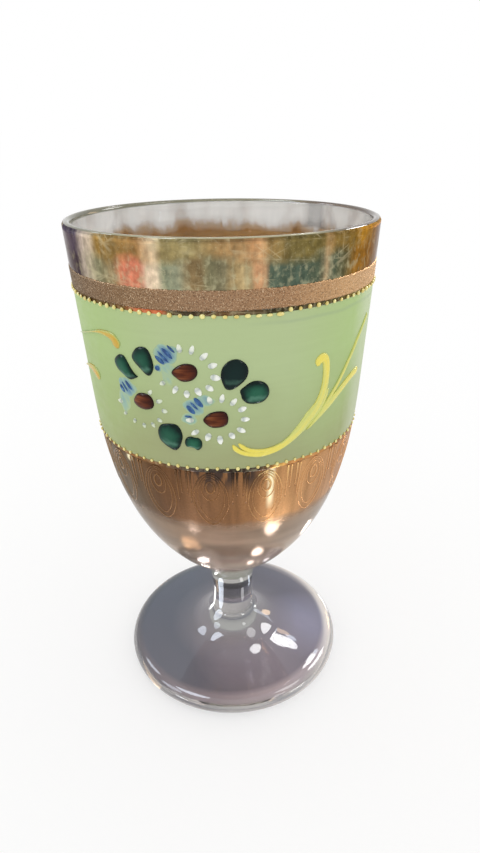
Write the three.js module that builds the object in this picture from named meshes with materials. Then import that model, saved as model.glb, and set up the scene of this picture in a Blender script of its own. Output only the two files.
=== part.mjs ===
// Footed drinking goblet: a blown bowl, a short drawn stem and a pressed foot of clear glass, dressed with
// fired gilding, a satin green enamel band and flowers in raised enamel.
// Millimetres, +Z up the goblet's axis, the foot's underside at Z 0 and the painted front towards -Y.
import * as THREE from "three";

// Glass foot
const FOOT_RADIUS = 33.2;
const FOOT_HEIGHT = 15; // underside to the weld with the stem
const FOOT_EDGE = 5.4; // thickness at the rim of the foot
const FOOT_EDGE_ROUND = 3.6; // how far the rounded edge runs in from the outside
const FOOT_CROWN_RADIUS = 13.8; // where the flat cone of the foot turns up towards the stem
const FOOT_CROWN_HEIGHT = 7.5;
const FOOT_FLARE_PULL = 4.5; // how far the stem's line leads the flare down from the weld
const FOOT_REST_WIDTH = 9.6; // the flat ring that it stands on, round a ground hollow
const FOOT_HOLLOW_DEPTH = 1.2;

// Glass stem
const STEM_LENGTH = 9;
const STEM_RADIUS = 6.4; // at both welds
const STEM_WAIST_RADIUS = 6.2;

// Glass bowl
const BOWL_HEIGHT = 110; // weld with the stem to the rim
const RIM_RADIUS = 37;
const WALL_TAPER = 2.1; // how much smaller the wall's radius is at the shoulder than at the rim
const SHOULDER_DROP = 39.9; // below the rim, where the straight wall starts to round in
const BELLY_PULL = 26.6; // how far the wall's straight line leads the belly's curve
const BASE_RADIUS = 10.7; // where the round belly gives way to the neck
const BASE_RISE = 10.3; // above the weld
const BASE_SLOPE = 41; // degrees above level
const BASE_PULL = 23.4; // how far that slope leads the belly's curve
const RIM_WALL = 1.8;
const SHOULDER_WALL = 2.1;
const FLOOR_RISE = 14.5; // the inside floor above the weld
const FLOOR_PULL = 21; // how far the flat floor leads the inside curve
const INSIDE_PULL = 26; // how far the inside wall leads the inside curve

// Fired films on the outside of the bowl, one below the other from the bare glass lip
const BARE_LIP = 0.5;
const RIM_GILT_WIDTH = 8.5;
const STIPPLE_WIDTH = 4.2;
const UPPER_LINE_WIDTH = 0.9;
const ENAMEL_WIDTH = 35.9;
const LOWER_LINE_WIDTH = 1;
const LOWER_GILT_WIDTH = 17.5;
const FILM_GAP = 0.05; // clearance between a film and the glass behind it
const GILT_THICKNESS = 0.12;
const STIPPLE_THICKNESS = 0.25;
const ENAMEL_THICKNESS = 0.2;

// Rows of enamel beads along both edges of the green band
const UPPER_BEAD_RADIUS = 0.62;
const UPPER_BEAD_PITCH = 2.24;
const LOWER_BEAD_RADIUS = 0.45;
const LOWER_BEAD_PITCH = 2.03;
const THREAD_HALF_WIDTH = 0.16; // the fine line of enamel that joins the drops of a row
const THREAD_HEIGHT = 0.1;

// Raised enamel painting on the green band
const DROP_SEAT = 0.1; // clearance between the painting and the band
const LEAF_HEIGHT = 0.8;
const DROP_POINT = 0.6; // how far a drop's outline goes from an oval, 0, to a teardrop, 1
const EYE_HEIGHT = 0.75;
const PETAL_HEIGHT = 0.4;
const STROKE_HEIGHT = 0.4;

// The motif as drawn for a band of the field's height, and scaled to the band that it is painted on.
// Places run along the band from its front line and up from its middle. A turn is the direction of a drop's
// point, in degrees from rightwards. The half width of a stroke goes from its start by its middle to its end.
const MOTIF = {
  field: 36,
  leaves: [
    { at: [-22.9, 5], length: 6.6, breadth: 3.5, turn: -52 },
    { at: [-18.3, 7.3], length: 6.5, breadth: 4.7, turn: -76 },
    { at: [1.7, 5.6], length: 6.8, breadth: 5.3, turn: -105 },
    { at: [5.9, 0.9], length: 6.2, breadth: 4.5, turn: 188 },
    { at: [-12.8, -10.2], length: 6.6, breadth: 5, turn: -72 },
    { at: [-7.6, -11.2], length: 4.2, breadth: 2.6, turn: -15 },
  ],
  eyes: [
    { at: [-8.7, 5.8], length: 5.4, breadth: 3.9, turn: 180 },
    { at: [-19.2, -2.8], length: 5.4, breadth: 3.9, turn: -20 },
    { at: [-2.6, -5], length: 5.4, breadth: 3.9, turn: 180 },
  ],
  petalRings: [
    { at: [-8.6, 5.9], halfBreadth: 5.9, halfHeight: 4.8 },
    { at: [-20.1, -3.7], halfBreadth: 5.9, halfHeight: 4.8 },
    { at: [-2.3, -5], halfBreadth: 5.9, halfHeight: 4.8 },
  ],
  petal: { countInRing: 14, halfLength: 0.8, halfBreadth: 0.5 },
  strokes: {
    scroll_stem: {
      path: [
        [1.2, -12], [3.5, -13.8], [8.5, -14.3], [15, -12], [20.7, -7.8],
        [23.6, -2.5], [23.8, 2], [22.6, 5.4], [21, 4.7],
      ],
      halfWidths: [0.7, 0.75, 0.9],
    },
    scroll_branch: {
      path: [[22.8, -7.5], [26.3, -4.6], [30.9, -2.6], [37.2, -1]],
      halfWidths: [0.3, 0.55, 0.8],
    },
    scroll_tendril: {
      path: [[25.5, -2.6], [28.4, 0.4], [32.4, 4.5], [37.6, 9.2], [41, 11.6]],
      halfWidths: [0.3, 0.35, 0.15],
    },
    upper_flourish: {
      path: [[-46, 7.4], [-37.7, 9.7], [-32.1, 11.1], [-27.8, 11.3], [-25.5, 10.4], [-25, 9.4]],
      halfWidths: [0.15, 0.35, 0.9],
    },
    lower_flourish: {
      path: [[-49, -2.4], [-42.4, 0], [-37.1, 0.7], [-33.9, -1.2]],
      halfWidths: [0.15, 0.4, 0.8],
    },
  },
};

// Fineness of the facets
const TURN_SEGMENTS = 48;
const CURVE_STEPS = 5;
const BELLY_STEPS = 10;
const OUTLINE_POINTS = 12;
const DOME_RINGS = [
  { share: 1, lift: 0 },
  { share: 0.7, lift: 0.7 },
];
const STROKE_STEP = 1.4;

const CLEAR_GLASS = { color: 0xd6d0d4, roughness: 0.04, metalness: 0, transparent: true, opacity: 0.4 };
const BRIGHT_GOLD = { color: 0xb39a5c, roughness: 0.15, metalness: 1 };
const STIPPLED_GOLD = { color: 0xa57d5f, roughness: 0.7, metalness: 0.7 };
const COPPER_GOLD = { color: 0xa06f42, roughness: 0.4, metalness: 0.9 };
const GREEN_ENAMEL = { color: 0xb2c592, roughness: 0.5, metalness: 0 };
const BEAD_YELLOW = { color: 0xd9cf7a, roughness: 0.3, metalness: 0 };
const BRUSH_YELLOW = { color: 0xdccf62, roughness: 0.3, metalness: 0 };
const LEAF_GREEN = { color: 0x17463a, roughness: 0.12, metalness: 0 };
const EYE_BROWN = { color: 0x5e2a12, roughness: 0.12, metalness: 0 };
const PETAL_WHITE = { color: 0xe6e8dc, roughness: 0.25, metalness: 0 };

const goblet = new THREE.Group();

function addPiece(parent, name, geometry, finish) {
  const mesh = new THREE.Mesh(geometry, new THREE.MeshStandardMaterial(finish));
  mesh.name = name;
  parent.add(mesh);
}

const point = (radius, z) => new THREE.Vector2(radius, z);

// A profile of radius and height, turned about the axis with its first facet edge towards -Y.
function turned(profile) {
  return new THREE.LatheGeometry(profile, TURN_SEGMENTS).rotateX(Math.PI / 2);
}

// Heights of the welds, the rim and the bowl's shoulder.
const stemWeld = FOOT_HEIGHT;
const bowlWeld = stemWeld + STEM_LENGTH;
const rim = bowlWeld + BOWL_HEIGHT;
const lip = rim - RIM_WALL / 2;
const shoulder = point(RIM_RADIUS - WALL_TAPER, rim - SHOULDER_DROP);

// Foot: a ground hollow, a flat resting ring, a rounded edge, a flat cone and a flare up to the stem.
function footProfile() {
  const restRadius = FOOT_RADIUS - FOOT_EDGE_ROUND;
  const hollowRadius = restRadius - FOOT_REST_WIDTH;
  const hollow = new THREE.QuadraticBezierCurve(
    point(0, FOOT_HOLLOW_DEPTH),
    point(hollowRadius / 2, FOOT_HOLLOW_DEPTH),
    point(hollowRadius, 0),
  );
  const halfEdge = FOOT_EDGE / 2;
  const quarter = Math.PI / 2;
  const edge = new THREE.EllipseCurve(restRadius, halfEdge, FOOT_EDGE_ROUND, halfEdge, -quarter, quarter);
  const flare = new THREE.QuadraticBezierCurve(
    point(FOOT_CROWN_RADIUS, FOOT_CROWN_HEIGHT),
    point(STEM_RADIUS, stemWeld - FOOT_FLARE_PULL),
    point(STEM_RADIUS, stemWeld),
  );
  return [
    ...hollow.getPoints(CURVE_STEPS - 1),
    ...edge.getPoints(CURVE_STEPS + 1),
    ...flare.getPoints(CURVE_STEPS),
    point(0, stemWeld),
  ];
}

// Stem: a short column, a little waisted, welded to the foot below and to the bowl above.
function stemProfile() {
  const waist = new THREE.SplineCurve([
    point(STEM_RADIUS, stemWeld),
    point(STEM_WAIST_RADIUS, stemWeld + STEM_LENGTH / 2),
    point(STEM_RADIUS, bowlWeld),
  ]);
  return [point(0, stemWeld), ...waist.getPoints(CURVE_STEPS - 1), point(0, bowlWeld)];
}

// Outside of the bowl: the belly rises from the base to the shoulder, then the wall runs straight to the lip.
const wallLine = point(RIM_RADIUS, lip).sub(shoulder).normalize();
const base = point(BASE_RADIUS, bowlWeld + BASE_RISE);
const baseSlope = THREE.MathUtils.degToRad(BASE_SLOPE);
const belly = new THREE.CubicBezierCurve(
  base,
  point(Math.cos(baseSlope), Math.sin(baseSlope)).multiplyScalar(BASE_PULL).add(base),
  wallLine.clone().multiplyScalar(-BELLY_PULL).add(shoulder),
  shoulder,
);
const bellyPoints = belly.getPoints(BELLY_STEPS);

// Outside radius of the bowl at a height between its base and its rim.
function wallRadius(z) {
  if (z > lip) {
    const halfLip = RIM_WALL / 2;
    return RIM_RADIUS - halfLip + Math.sqrt(halfLip ** 2 - (z - lip) ** 2);
  }
  if (z >= shoulder.y) {
    return shoulder.x + (WALL_TAPER * (z - shoulder.y)) / (lip - shoulder.y);
  }
  let below = 0;
  let above = 1;
  while (above - below > 1e-9) {
    const middle = (below + above) / 2;
    if (belly.getPoint(middle).y < z) below = middle;
    else above = middle;
  }
  return belly.getPoint(above).x;
}

// Heights from low to high that meet the bowl's own rings of facets, so a film lies along them.
function wallHeights(low, high) {
  const rings = [...bellyPoints.map((p) => p.y), lip].filter((z) => z > low && z < high);
  return [low, ...rings, high];
}

// Bowl: a neck that flows out of the stem, the outside wall, a rounded lip and the inside down to its floor.
function bowlProfile() {
  const neck = new THREE.QuadraticBezierCurve(
    point(STEM_RADIUS, bowlWeld),
    point(STEM_RADIUS, base.y - (BASE_RADIUS - STEM_RADIUS) * Math.tan(baseSlope)),
    base,
  );
  const halfLip = RIM_WALL / 2;
  const lipRound = new THREE.EllipseCurve(RIM_RADIUS - halfLip, lip, halfLip, halfLip, 0, Math.PI);
  const floor = point(0, bowlWeld + FLOOR_RISE);
  const insideShoulder = point(shoulder.x - SHOULDER_WALL, shoulder.y);
  const insideLine = point(RIM_RADIUS - RIM_WALL, lip).sub(insideShoulder).normalize();
  const inside = new THREE.CubicBezierCurve(
    insideShoulder,
    insideLine.multiplyScalar(-INSIDE_PULL).add(insideShoulder),
    point(FLOOR_PULL, floor.y),
    floor,
  );
  return [
    point(0, bowlWeld),
    ...neck.getPoints(CURVE_STEPS),
    ...bellyPoints.slice(1),
    ...lipRound.getPoints(CURVE_STEPS - 1),
    ...inside.getPoints(BELLY_STEPS),
  ];
}

addPiece(goblet, "foot", turned(footProfile()), CLEAR_GLASS);
addPiece(goblet, "stem", turned(stemProfile()), CLEAR_GLASS);
addPiece(goblet, "bowl", turned(bowlProfile()), CLEAR_GLASS);

// Heights of the films' edges.
const giltTop = rim - BARE_LIP;
const stippleTop = giltTop - RIM_GILT_WIDTH;
const upperLineTop = stippleTop - STIPPLE_WIDTH;
const bandTop = upperLineTop - UPPER_LINE_WIDTH;
const bandBottom = bandTop - ENAMEL_WIDTH;
const lowerGiltTop = bandBottom - LOWER_LINE_WIDTH;
const lowerGiltBottom = lowerGiltTop - LOWER_GILT_WIDTH;

// A fired film round the bowl, between two heights.
function addFilm(name, top, bottom, thickness, finish) {
  const heights = wallHeights(bottom, top);
  const outside = heights.map((z) => point(wallRadius(z) + FILM_GAP + thickness, z));
  const inside = heights.map((z) => point(wallRadius(z) + FILM_GAP, z)).reverse();
  addPiece(goblet, name, turned([...outside, ...inside, outside[0]]), finish);
}

addFilm("rim_gilding", giltTop, stippleTop, GILT_THICKNESS, BRIGHT_GOLD);
addFilm("stippled_gilt_band", stippleTop, upperLineTop, STIPPLE_THICKNESS, STIPPLED_GOLD);
addFilm("upper_gilt_line", upperLineTop, bandTop, GILT_THICKNESS, BRIGHT_GOLD);
addFilm("green_enamel_band", bandTop, bandBottom, ENAMEL_THICKNESS, GREEN_ENAMEL);
addFilm("lower_gilt_line", bandBottom, lowerGiltTop, GILT_THICKNESS, BRIGHT_GOLD);
addFilm("lower_gilt_band", lowerGiltTop, lowerGiltBottom, GILT_THICKNESS, COPPER_GOLD);

// A point on the painted face of the band: along it from the front line, at a height, and lifted off it.
function onBand(along, z, lift) {
  const wall = wallRadius(z);
  const radius = wall + FILM_GAP + ENAMEL_THICKNESS + DROP_SEAT + lift;
  const bearing = along / wall;
  return new THREE.Vector3(radius * Math.sin(bearing), -radius * Math.cos(bearing), z);
}

// A closed body from rows of points and triangles of point numbers.
function solidOf(points, triangles) {
  return new THREE.BufferGeometry().setFromPoints(points).setIndex(triangles);
}

// A low ridge of enamel along a chain of stations. Each has its place on the band, the direction to its left,
// half its width and its height. A closed chain joins its last station to its first.
function ridge(stations, closed) {
  const points = stations.flatMap(({ at, left, halfWidth, height }) => [
    onBand(at.x + left.x * halfWidth, at.y + left.y * halfWidth, 0),
    onBand(at.x, at.y, height),
    onBand(at.x - left.x * halfWidth, at.y - left.y * halfWidth, 0),
  ]);
  const triangles = [];
  const last = points.length - 3;
  for (let near = 0; near < points.length; near += 3) {
    if (near === last && !closed) break;
    const far = (near + 3) % points.length;
    for (let side = 0; side < 3; side++) {
      const next = (side + 1) % 3;
      triangles.push(near + side, near + next, far + side);
      triangles.push(near + next, far + next, far + side);
    }
  }
  if (!closed) triangles.push(2, 1, 0, last, last + 1, last + 2);
  return solidOf(points, triangles);
}

// Stations of a thread of enamel that swells into equal drops, each with its start, crown and end.
function beadedThread(count, place, crown) {
  const thread = { halfWidth: THREAD_HALF_WIDTH, height: THREAD_HEIGHT };
  const stations = [];
  for (let bead = 0; bead < count; bead++) {
    for (const side of [-1, 0, 1]) {
      const size = side === 0 ? crown : thread;
      stations.push({ ...place(bead / count, side), ...size });
    }
  }
  return stations;
}

// A row of beads round the goblet at one height.
function beadRow(z, radius, pitch) {
  const girth = 2 * Math.PI * wallRadius(z);
  const place = (share, side) => ({
    at: point(share * girth + side * radius, z),
    left: point(0, 1),
  });
  const crown = { halfWidth: radius, height: radius };
  return ridge(beadedThread(Math.round(girth / pitch), place, crown), true);
}

const upperBeads = beadRow(bandTop - UPPER_BEAD_RADIUS, UPPER_BEAD_RADIUS, UPPER_BEAD_PITCH);
const lowerBeads = beadRow(bandBottom + LOWER_BEAD_RADIUS, LOWER_BEAD_RADIUS, LOWER_BEAD_PITCH);
addPiece(goblet, "upper_bead_row", upperBeads, BEAD_YELLOW);
addPiece(goblet, "lower_bead_row", lowerBeads, BEAD_YELLOW);

// The motif grows and shrinks with the band that it is painted on.
const motifScale = (bandTop - bandBottom) / MOTIF.field;
const bandMiddle = (bandTop + bandBottom) / 2;

function inMotif([along, up]) {
  return point(along * motifScale, bandMiddle + up * motifScale);
}

// Half the breadth of a drop at an angle round it from its point, as a share of the widest.
function dropShape(angle) {
  // The sine of half the angle at the widest place
  const halfSine = Math.sqrt((1 + DROP_POINT) / (2 + DROP_POINT));
  const widest = 2 * halfSine ** (1 + DROP_POINT) * Math.sqrt(1 - halfSine ** 2);
  return (Math.sin(angle) * Math.sin(angle / 2) ** DROP_POINT) / widest;
}

// A domed drop of enamel: a rounded tail, and a point in the direction of its turn.
function drop({ at, length, breadth, turn }, height) {
  const centre = inMotif(at);
  const pointing = THREE.MathUtils.degToRad(turn);
  const points = [];
  for (const { share, lift } of DOME_RINGS) {
    for (let i = 0; i < OUTLINE_POINTS; i++) {
      const angle = (2 * Math.PI * i) / OUTLINE_POINTS;
      const edge = point((length / 2) * Math.cos(angle), (breadth / 2) * dropShape(angle));
      edge.multiplyScalar(share * motifScale).rotateAround(point(0, 0), pointing).add(centre);
      points.push(onBand(edge.x, edge.y, lift * height));
    }
  }
  const crown = points.push(onBand(centre.x, centre.y, height)) - 1;
  const seat = points.push(onBand(centre.x, centre.y, 0)) - 1;
  const triangles = [];
  for (let i = 0; i < OUTLINE_POINTS; i++) {
    const next = (i + 1) % OUTLINE_POINTS;
    const inner = i + OUTLINE_POINTS;
    const innerNext = next + OUTLINE_POINTS;
    triangles.push(i, next, inner, next, innerNext, inner);
    triangles.push(inner, innerNext, crown);
    triangles.push(next, i, seat);
  }
  return solidOf(points, triangles);
}

// A ring of small petals round a flower's eye, each longer towards the eye than it is broad.
function petalRing({ at, halfBreadth, halfHeight }) {
  const { countInRing, halfLength, halfBreadth: petalReach } = MOTIF.petal;
  const middle = inMotif(at);
  const reach = petalReach / Math.sqrt(halfBreadth * halfHeight);
  const place = (share, side) => {
    const angle = 2 * Math.PI * share + side * reach;
    const out = point(Math.cos(angle), Math.sin(angle));
    return {
      at: point(out.x * halfBreadth, out.y * halfHeight).multiplyScalar(motifScale).add(middle),
      left: out.negate(),
    };
  };
  const crown = { halfWidth: halfLength * motifScale, height: PETAL_HEIGHT };
  return ridge(beadedThread(countInRing, place, crown), true);
}

// A brush stroke along a smooth path.
function stroke({ path, halfWidths }) {
  const line = new THREE.SplineCurve(path.map(inMotif));
  const [start, middle, end] = halfWidths;
  const steps = Math.ceil(line.getLength() / STROKE_STEP);
  const stations = [];
  for (let i = 0; i <= steps; i++) {
    const share = i / steps;
    const ahead = line.getTangentAt(share);
    const halfWidth = share < 0.5
      ? THREE.MathUtils.lerp(start, middle, 2 * share)
      : THREE.MathUtils.lerp(middle, end, 2 * share - 1);
    stations.push({
      at: line.getPointAt(share),
      left: point(-ahead.y, ahead.x),
      halfWidth: halfWidth * motifScale,
      height: STROKE_HEIGHT,
    });
  }
  return ridge(stations, false);
}

// The same spray of flowers and scrolls is painted on the front and on the back.
for (const [side, turn] of [["front", 0], ["back", Math.PI]]) {
  const spray = new THREE.Group();
  spray.rotation.z = turn;
  goblet.add(spray);
  MOTIF.leaves.forEach((leaf, i) => {
    addPiece(spray, `${side}_leaf_${i + 1}`, drop(leaf, LEAF_HEIGHT), LEAF_GREEN);
  });
  MOTIF.eyes.forEach((eye, i) => {
    addPiece(spray, `${side}_flower_eye_${i + 1}`, drop(eye, EYE_HEIGHT), EYE_BROWN);
  });
  MOTIF.petalRings.forEach((ring, i) => {
    addPiece(spray, `${side}_petal_ring_${i + 1}`, petalRing(ring), PETAL_WHITE);
  });
  for (const [name, brush] of Object.entries(MOTIF.strokes)) {
    addPiece(spray, `${side}_${name}`, stroke(brush), BRUSH_YELLOW);
  }
}

export default goblet;
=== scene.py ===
# Footed drinking goblet of clear glass with fired gilding, a green enamel band and raised flowers.
# Metres, +Z up the goblet's axis, the foot's underside at Z 0 and the painted front towards -Y.
import math
from functools import cached_property

import bpy
import numpy as np
from mathutils import Matrix, Vector


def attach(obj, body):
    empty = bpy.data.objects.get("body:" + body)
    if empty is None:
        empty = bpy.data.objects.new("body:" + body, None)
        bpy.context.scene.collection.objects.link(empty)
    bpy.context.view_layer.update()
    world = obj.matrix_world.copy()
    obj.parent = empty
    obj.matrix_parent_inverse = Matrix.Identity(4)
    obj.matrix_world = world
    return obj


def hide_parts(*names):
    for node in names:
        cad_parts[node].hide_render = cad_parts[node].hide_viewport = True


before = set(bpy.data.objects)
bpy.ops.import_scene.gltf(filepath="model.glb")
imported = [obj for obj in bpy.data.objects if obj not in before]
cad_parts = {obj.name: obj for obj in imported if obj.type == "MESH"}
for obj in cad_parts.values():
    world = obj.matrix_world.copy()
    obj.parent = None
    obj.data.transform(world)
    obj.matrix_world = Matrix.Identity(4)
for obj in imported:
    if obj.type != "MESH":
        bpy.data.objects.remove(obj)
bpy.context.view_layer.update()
MM = 0.001


# Camera: a phone held 150 mm in front of the goblet's axis and 20 mm above its rim, looking down into it.
# It is turned and rolled by about a degree, as the photograph's framing shows.
camera_dip, camera_turn, camera_roll = (math.radians(angle) for angle in (26.68, 1.27, -1.05))
ahead = Vector((
    math.sin(camera_turn) * math.cos(camera_dip),
    math.cos(camera_turn) * math.cos(camera_dip),
    -math.sin(camera_dip),
))
level_right = Vector((math.cos(camera_turn), -math.sin(camera_turn), 0))
level_up = level_right.cross(ahead)
camera_right = math.cos(camera_roll) * level_right + math.sin(camera_roll) * level_up
camera_up = math.cos(camera_roll) * level_up - math.sin(camera_roll) * level_right
camera_lens = bpy.data.cameras.new("phone_lens")
camera_lens.lens = 25.32
camera_lens.clip_start = 0.005
camera_lens.clip_end = 50
camera = bpy.data.objects.new("phone", camera_lens)
camera.matrix_world = Matrix((camera_right, camera_up, -ahead)).transposed().to_4x4()
camera.location = Vector((0, -150.55, 153.13)) * MM
bpy.context.scene.collection.objects.link(camera)
bpy.context.scene.camera = camera


# Foot: a gather of clear glass pressed flat and spun out, its edge fire polished and a hollow ground below.
# It is the thickest glass of the goblet, so its faint smoky mauve shows most here; the depth of that mauve
# and its changes from side to side are painted shade and light. Welded hot to the stem.
FOOT_HEIGHT = 15
STEM_RADIUS = 6.4
REST_RADIUS = 29.6
EDGE_REACH = 3.6
EDGE_HALF = 2.7
FLARE_RADIUS = 13.8
FLARE_START = 7.5
HOLLOW_RADIUS = 20
HOLLOW_DEPTH = 1.2


def curve_points(controls, steps):
    """Points along the curve that its control points lead, both ends included."""
    controls = np.array(controls, float)
    degree = len(controls) - 1
    share = np.linspace(0, 1, steps + 1)[:, None]
    weights = [math.comb(degree, k) * share**k * (1 - share) ** (degree - k) for k in range(degree + 1)]
    return sum(weight * control for weight, control in zip(weights, controls))


def new_mesh(name, points, faces=()):
    mesh = bpy.data.meshes.new(name)
    mesh.from_pydata(np.asarray(points).tolist(), [], faces)
    return mesh


def turned(name, profile, turns=192):
    """A glass body of revolution: its profile is radius and height in millimetres, from axis to axis."""
    bearings = np.linspace(0, 2 * np.pi, turns, endpoint=False)
    points = []
    rows = []
    for radius, height in profile:
        first = len(points)
        if radius < 1e-9:
            rows.append([first] * turns)
            points.append((0, 0, height * MM))
        else:
            rows.append(list(range(first, first + turns)))
            points += [(radius * MM * math.sin(b), -radius * MM * math.cos(b), height * MM) for b in bearings]
    faces = []
    for low, high in zip(rows, rows[1:]):
        for here in range(turns):
            there = (here + 1) % turns
            faces.append(tuple(dict.fromkeys((low[here], low[there], high[there], high[here]))))
    mesh = new_mesh(name, points, faces)
    mesh.shade_smooth()
    mesh.set_sharp_from_angle(angle=math.radians(50))
    return mesh


def fill(node, key, value):
    """Puts a plain value on a node's input, or leads a signal to it."""
    if isinstance(value, Signal):
        node.id_data.links.new(value.socket, node.inputs[key])
    else:
        node.inputs[key].default_value = value


def add(tree, kind, inputs=None, **settings):
    """A new node in a tree, with its settings and inputs."""
    node = tree.nodes.new(kind)
    for name, value in settings.items():
        setattr(node, name, value)
    for key, value in (inputs or {}).items():
        fill(node, key, value)
    return node


class Signal:
    """A number, place or colour on its way through a tree. Sums, spreads and blends make new ones from it."""

    def __init__(self, socket):
        self.socket = socket

    def node(self, kind, inputs, output=0, **settings):
        return Signal(add(self.socket.id_data, kind, inputs, **settings).outputs[output])

    def math(self, operation, *values):
        return self.node("ShaderNodeMath", dict(enumerate(values or (self,))), operation=operation)

    __add__, __sub__, __mul__, __truediv__, __pow__, most = (
        (lambda self, other, operation=operation: self.math(operation, self, other))
        for operation in ("ADD", "SUBTRACT", "MULTIPLY", "DIVIDE", "POWER", "MAXIMUM")
    )

    def __rsub__(self, other):
        return self.math("SUBTRACT", other, self)

    def __abs__(self):
        return self.math("ABSOLUTE")

    def axis(self, number):
        return self.node("ShaderNodeSeparateXYZ", {0: self}, number)

    x, y, z = (property(lambda self, number=number: self.axis(number)) for number in range(3))

    def distance(self, x, y):
        """How far a place on a plane is from a spot on it."""
        return self.node("ShaderNodeVectorMath", {0: self, 1: (x, y, 0)}, "Value", operation="DISTANCE")

    def noise(self, scale, detail=2.0, drawn=(1, 1, 1), turn=0.0):
        """Cloudy noise from 0 to 1, so many clouds per metre, turned and then drawn out along its axes."""
        mapping = {"Vector": self, "Scale": drawn, "Rotation": (0, 0, turn)}
        place = self.node("ShaderNodeMapping", mapping, vector_type="TEXTURE")
        return self.node("ShaderNodeTexNoise", {"Vector": place, "Scale": scale, "Detail": detail}, "Fac")

    def between(self, low, high, to_low=0.0, to_high=1.0):
        """A value's place between low and high, given as a number between two others."""
        ends = {"From Min": low, "From Max": high, "To Min": to_low, "To Max": to_high}
        return self.node("ShaderNodeMapRange", {"Value": self, **ends}, "Result")

    def clouds(self, low, high, *kind):
        """Cloudy noise spread from a low to a high value."""
        return self.noise(*kind).between(0.3, 0.7, low, high)

    def ramp(self, stops):
        """A run of colours along a value. Each stop is a place from 0 to 1 and a colour."""
        node = add(self.socket.id_data, "ShaderNodeValToRGB", {"Fac": self})
        elements = node.color_ramp.elements
        elements.remove(elements[1])
        elements[0].position, elements[0].color = stops[0]
        for place, colour in stops[1:]:
            elements.new(place).color = colour
        return Signal(node.outputs["Color"])

    def mix(self, first, second):
        """Two colours blended by a value."""
        return self.node("ShaderNodeMix", {0: self, 6: first, 7: second}, 2, data_type="RGBA")

    def shaded(self, *shades):
        """A colour made lighter or darker by one shade after another."""
        colour = self
        for shade in shades:
            colour = self.node("ShaderNodeVectorMath", {0: colour, "Scale": shade}, operation="SCALE")
        return colour


def vector(*axes):
    """Three values joined into a place, a turn or a size."""
    lead = next(axis for axis in axes if isinstance(axis, Signal))
    return lead.node("ShaderNodeCombineXYZ", dict(enumerate(axes)))


class Finish:
    """A new material. Plain values and signals go straight to its shader's own sockets."""

    def __init__(self, name, **sockets):
        self.material = bpy.data.materials.new(name)
        self.material.use_nodes = True
        self.tree = self.material.node_tree
        self.shader = self.tree.nodes["Principled BSDF"]
        self.set(**sockets)

    def set(self, **sockets):
        for key, value in sockets.items():
            fill(self.shader, key.replace("_", " ").title().replace("Ior", "IOR"), value)

    @cached_property
    def place(self):
        """The place of a point of the goblet, in metres."""
        return Signal(add(self.tree, "ShaderNodeTexCoord").outputs["Object"])

    def mark(self, name):
        """A piece's own mark, as kept on its points."""
        return Signal(add(self.tree, "ShaderNodeAttribute", attribute_name=name).outputs["Fac"])

    def uneven(self, height, strength, depth):
        """Lets the light break on a surface as if it rose and fell by a depth in metres."""
        bump = {"Height": height, "Strength": strength, "Distance": depth}
        self.set(normal=height.node("ShaderNodeBump", bump))

    def surface(self, shader):
        """Another shader than the plain one."""
        self.tree.links.new(shader.outputs[0], self.tree.nodes["Material Output"].inputs["Surface"])


def clear_glass(name, tint_of):
    """Fire-polished glass: smooth, slightly wavy from the tools, and dulled here and there by handling."""
    glass = Finish(name, transmission_weight=1.0, ior=1.5)
    handling = glass.place.noise(90, 4).between(0.45, 0.75, 0, 0.05)
    glass.set(base_color=tint_of(glass.place), roughness=handling)
    glass.uneven(glass.place.noise(70, 1), 0.06, 0.001)
    return glass


def fused_weld():
    """The plane inside the glass where two gathers run together. Light passes it as if it weren't there."""
    weld = Finish("fused_weld")
    weld.tree.nodes.remove(weld.shader)
    weld.surface(add(weld.tree, "ShaderNodeBsdfTransparent"))
    return weld


def set_in_place(name, mesh, slot, finishes, *nodes):
    """The finished piece, riding with the goblet in place of its CAD nodes."""
    piece = bpy.data.objects.new(name, mesh)
    bpy.context.scene.collection.objects.link(piece)
    for finish in finishes:
        mesh.materials.append(finish.material)
    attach(piece, "root")
    if nodes:
        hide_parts(*nodes)


def mark_welds(mesh, *heights):
    """Gives the flat faces at the welds' heights the second material."""
    for face in mesh.polygons:
        if any(abs(face.center.z - height * MM) < 1e-7 for height in heights):
            face.material_index = 1


edge_angles = np.linspace(-np.pi / 2, np.pi / 2, 25)
edge_round = [REST_RADIUS + EDGE_REACH * np.cos(edge_angles), EDGE_HALF + EDGE_HALF * np.sin(edge_angles)]
foot_profile = np.vstack([
    curve_points([(0, HOLLOW_DEPTH), (HOLLOW_RADIUS / 2, HOLLOW_DEPTH), (HOLLOW_RADIUS, 0)], 16),
    np.stack(edge_round, 1),
    curve_points([(REST_RADIUS, 2 * EDGE_HALF), (FLARE_RADIUS, FLARE_START)], 8)[1:],
    curve_points([(FLARE_RADIUS, FLARE_START), (STEM_RADIUS, 10.5), (STEM_RADIUS, FOOT_HEIGHT)], 28)[1:],
    [(0, FOOT_HEIGHT)],
])


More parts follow.
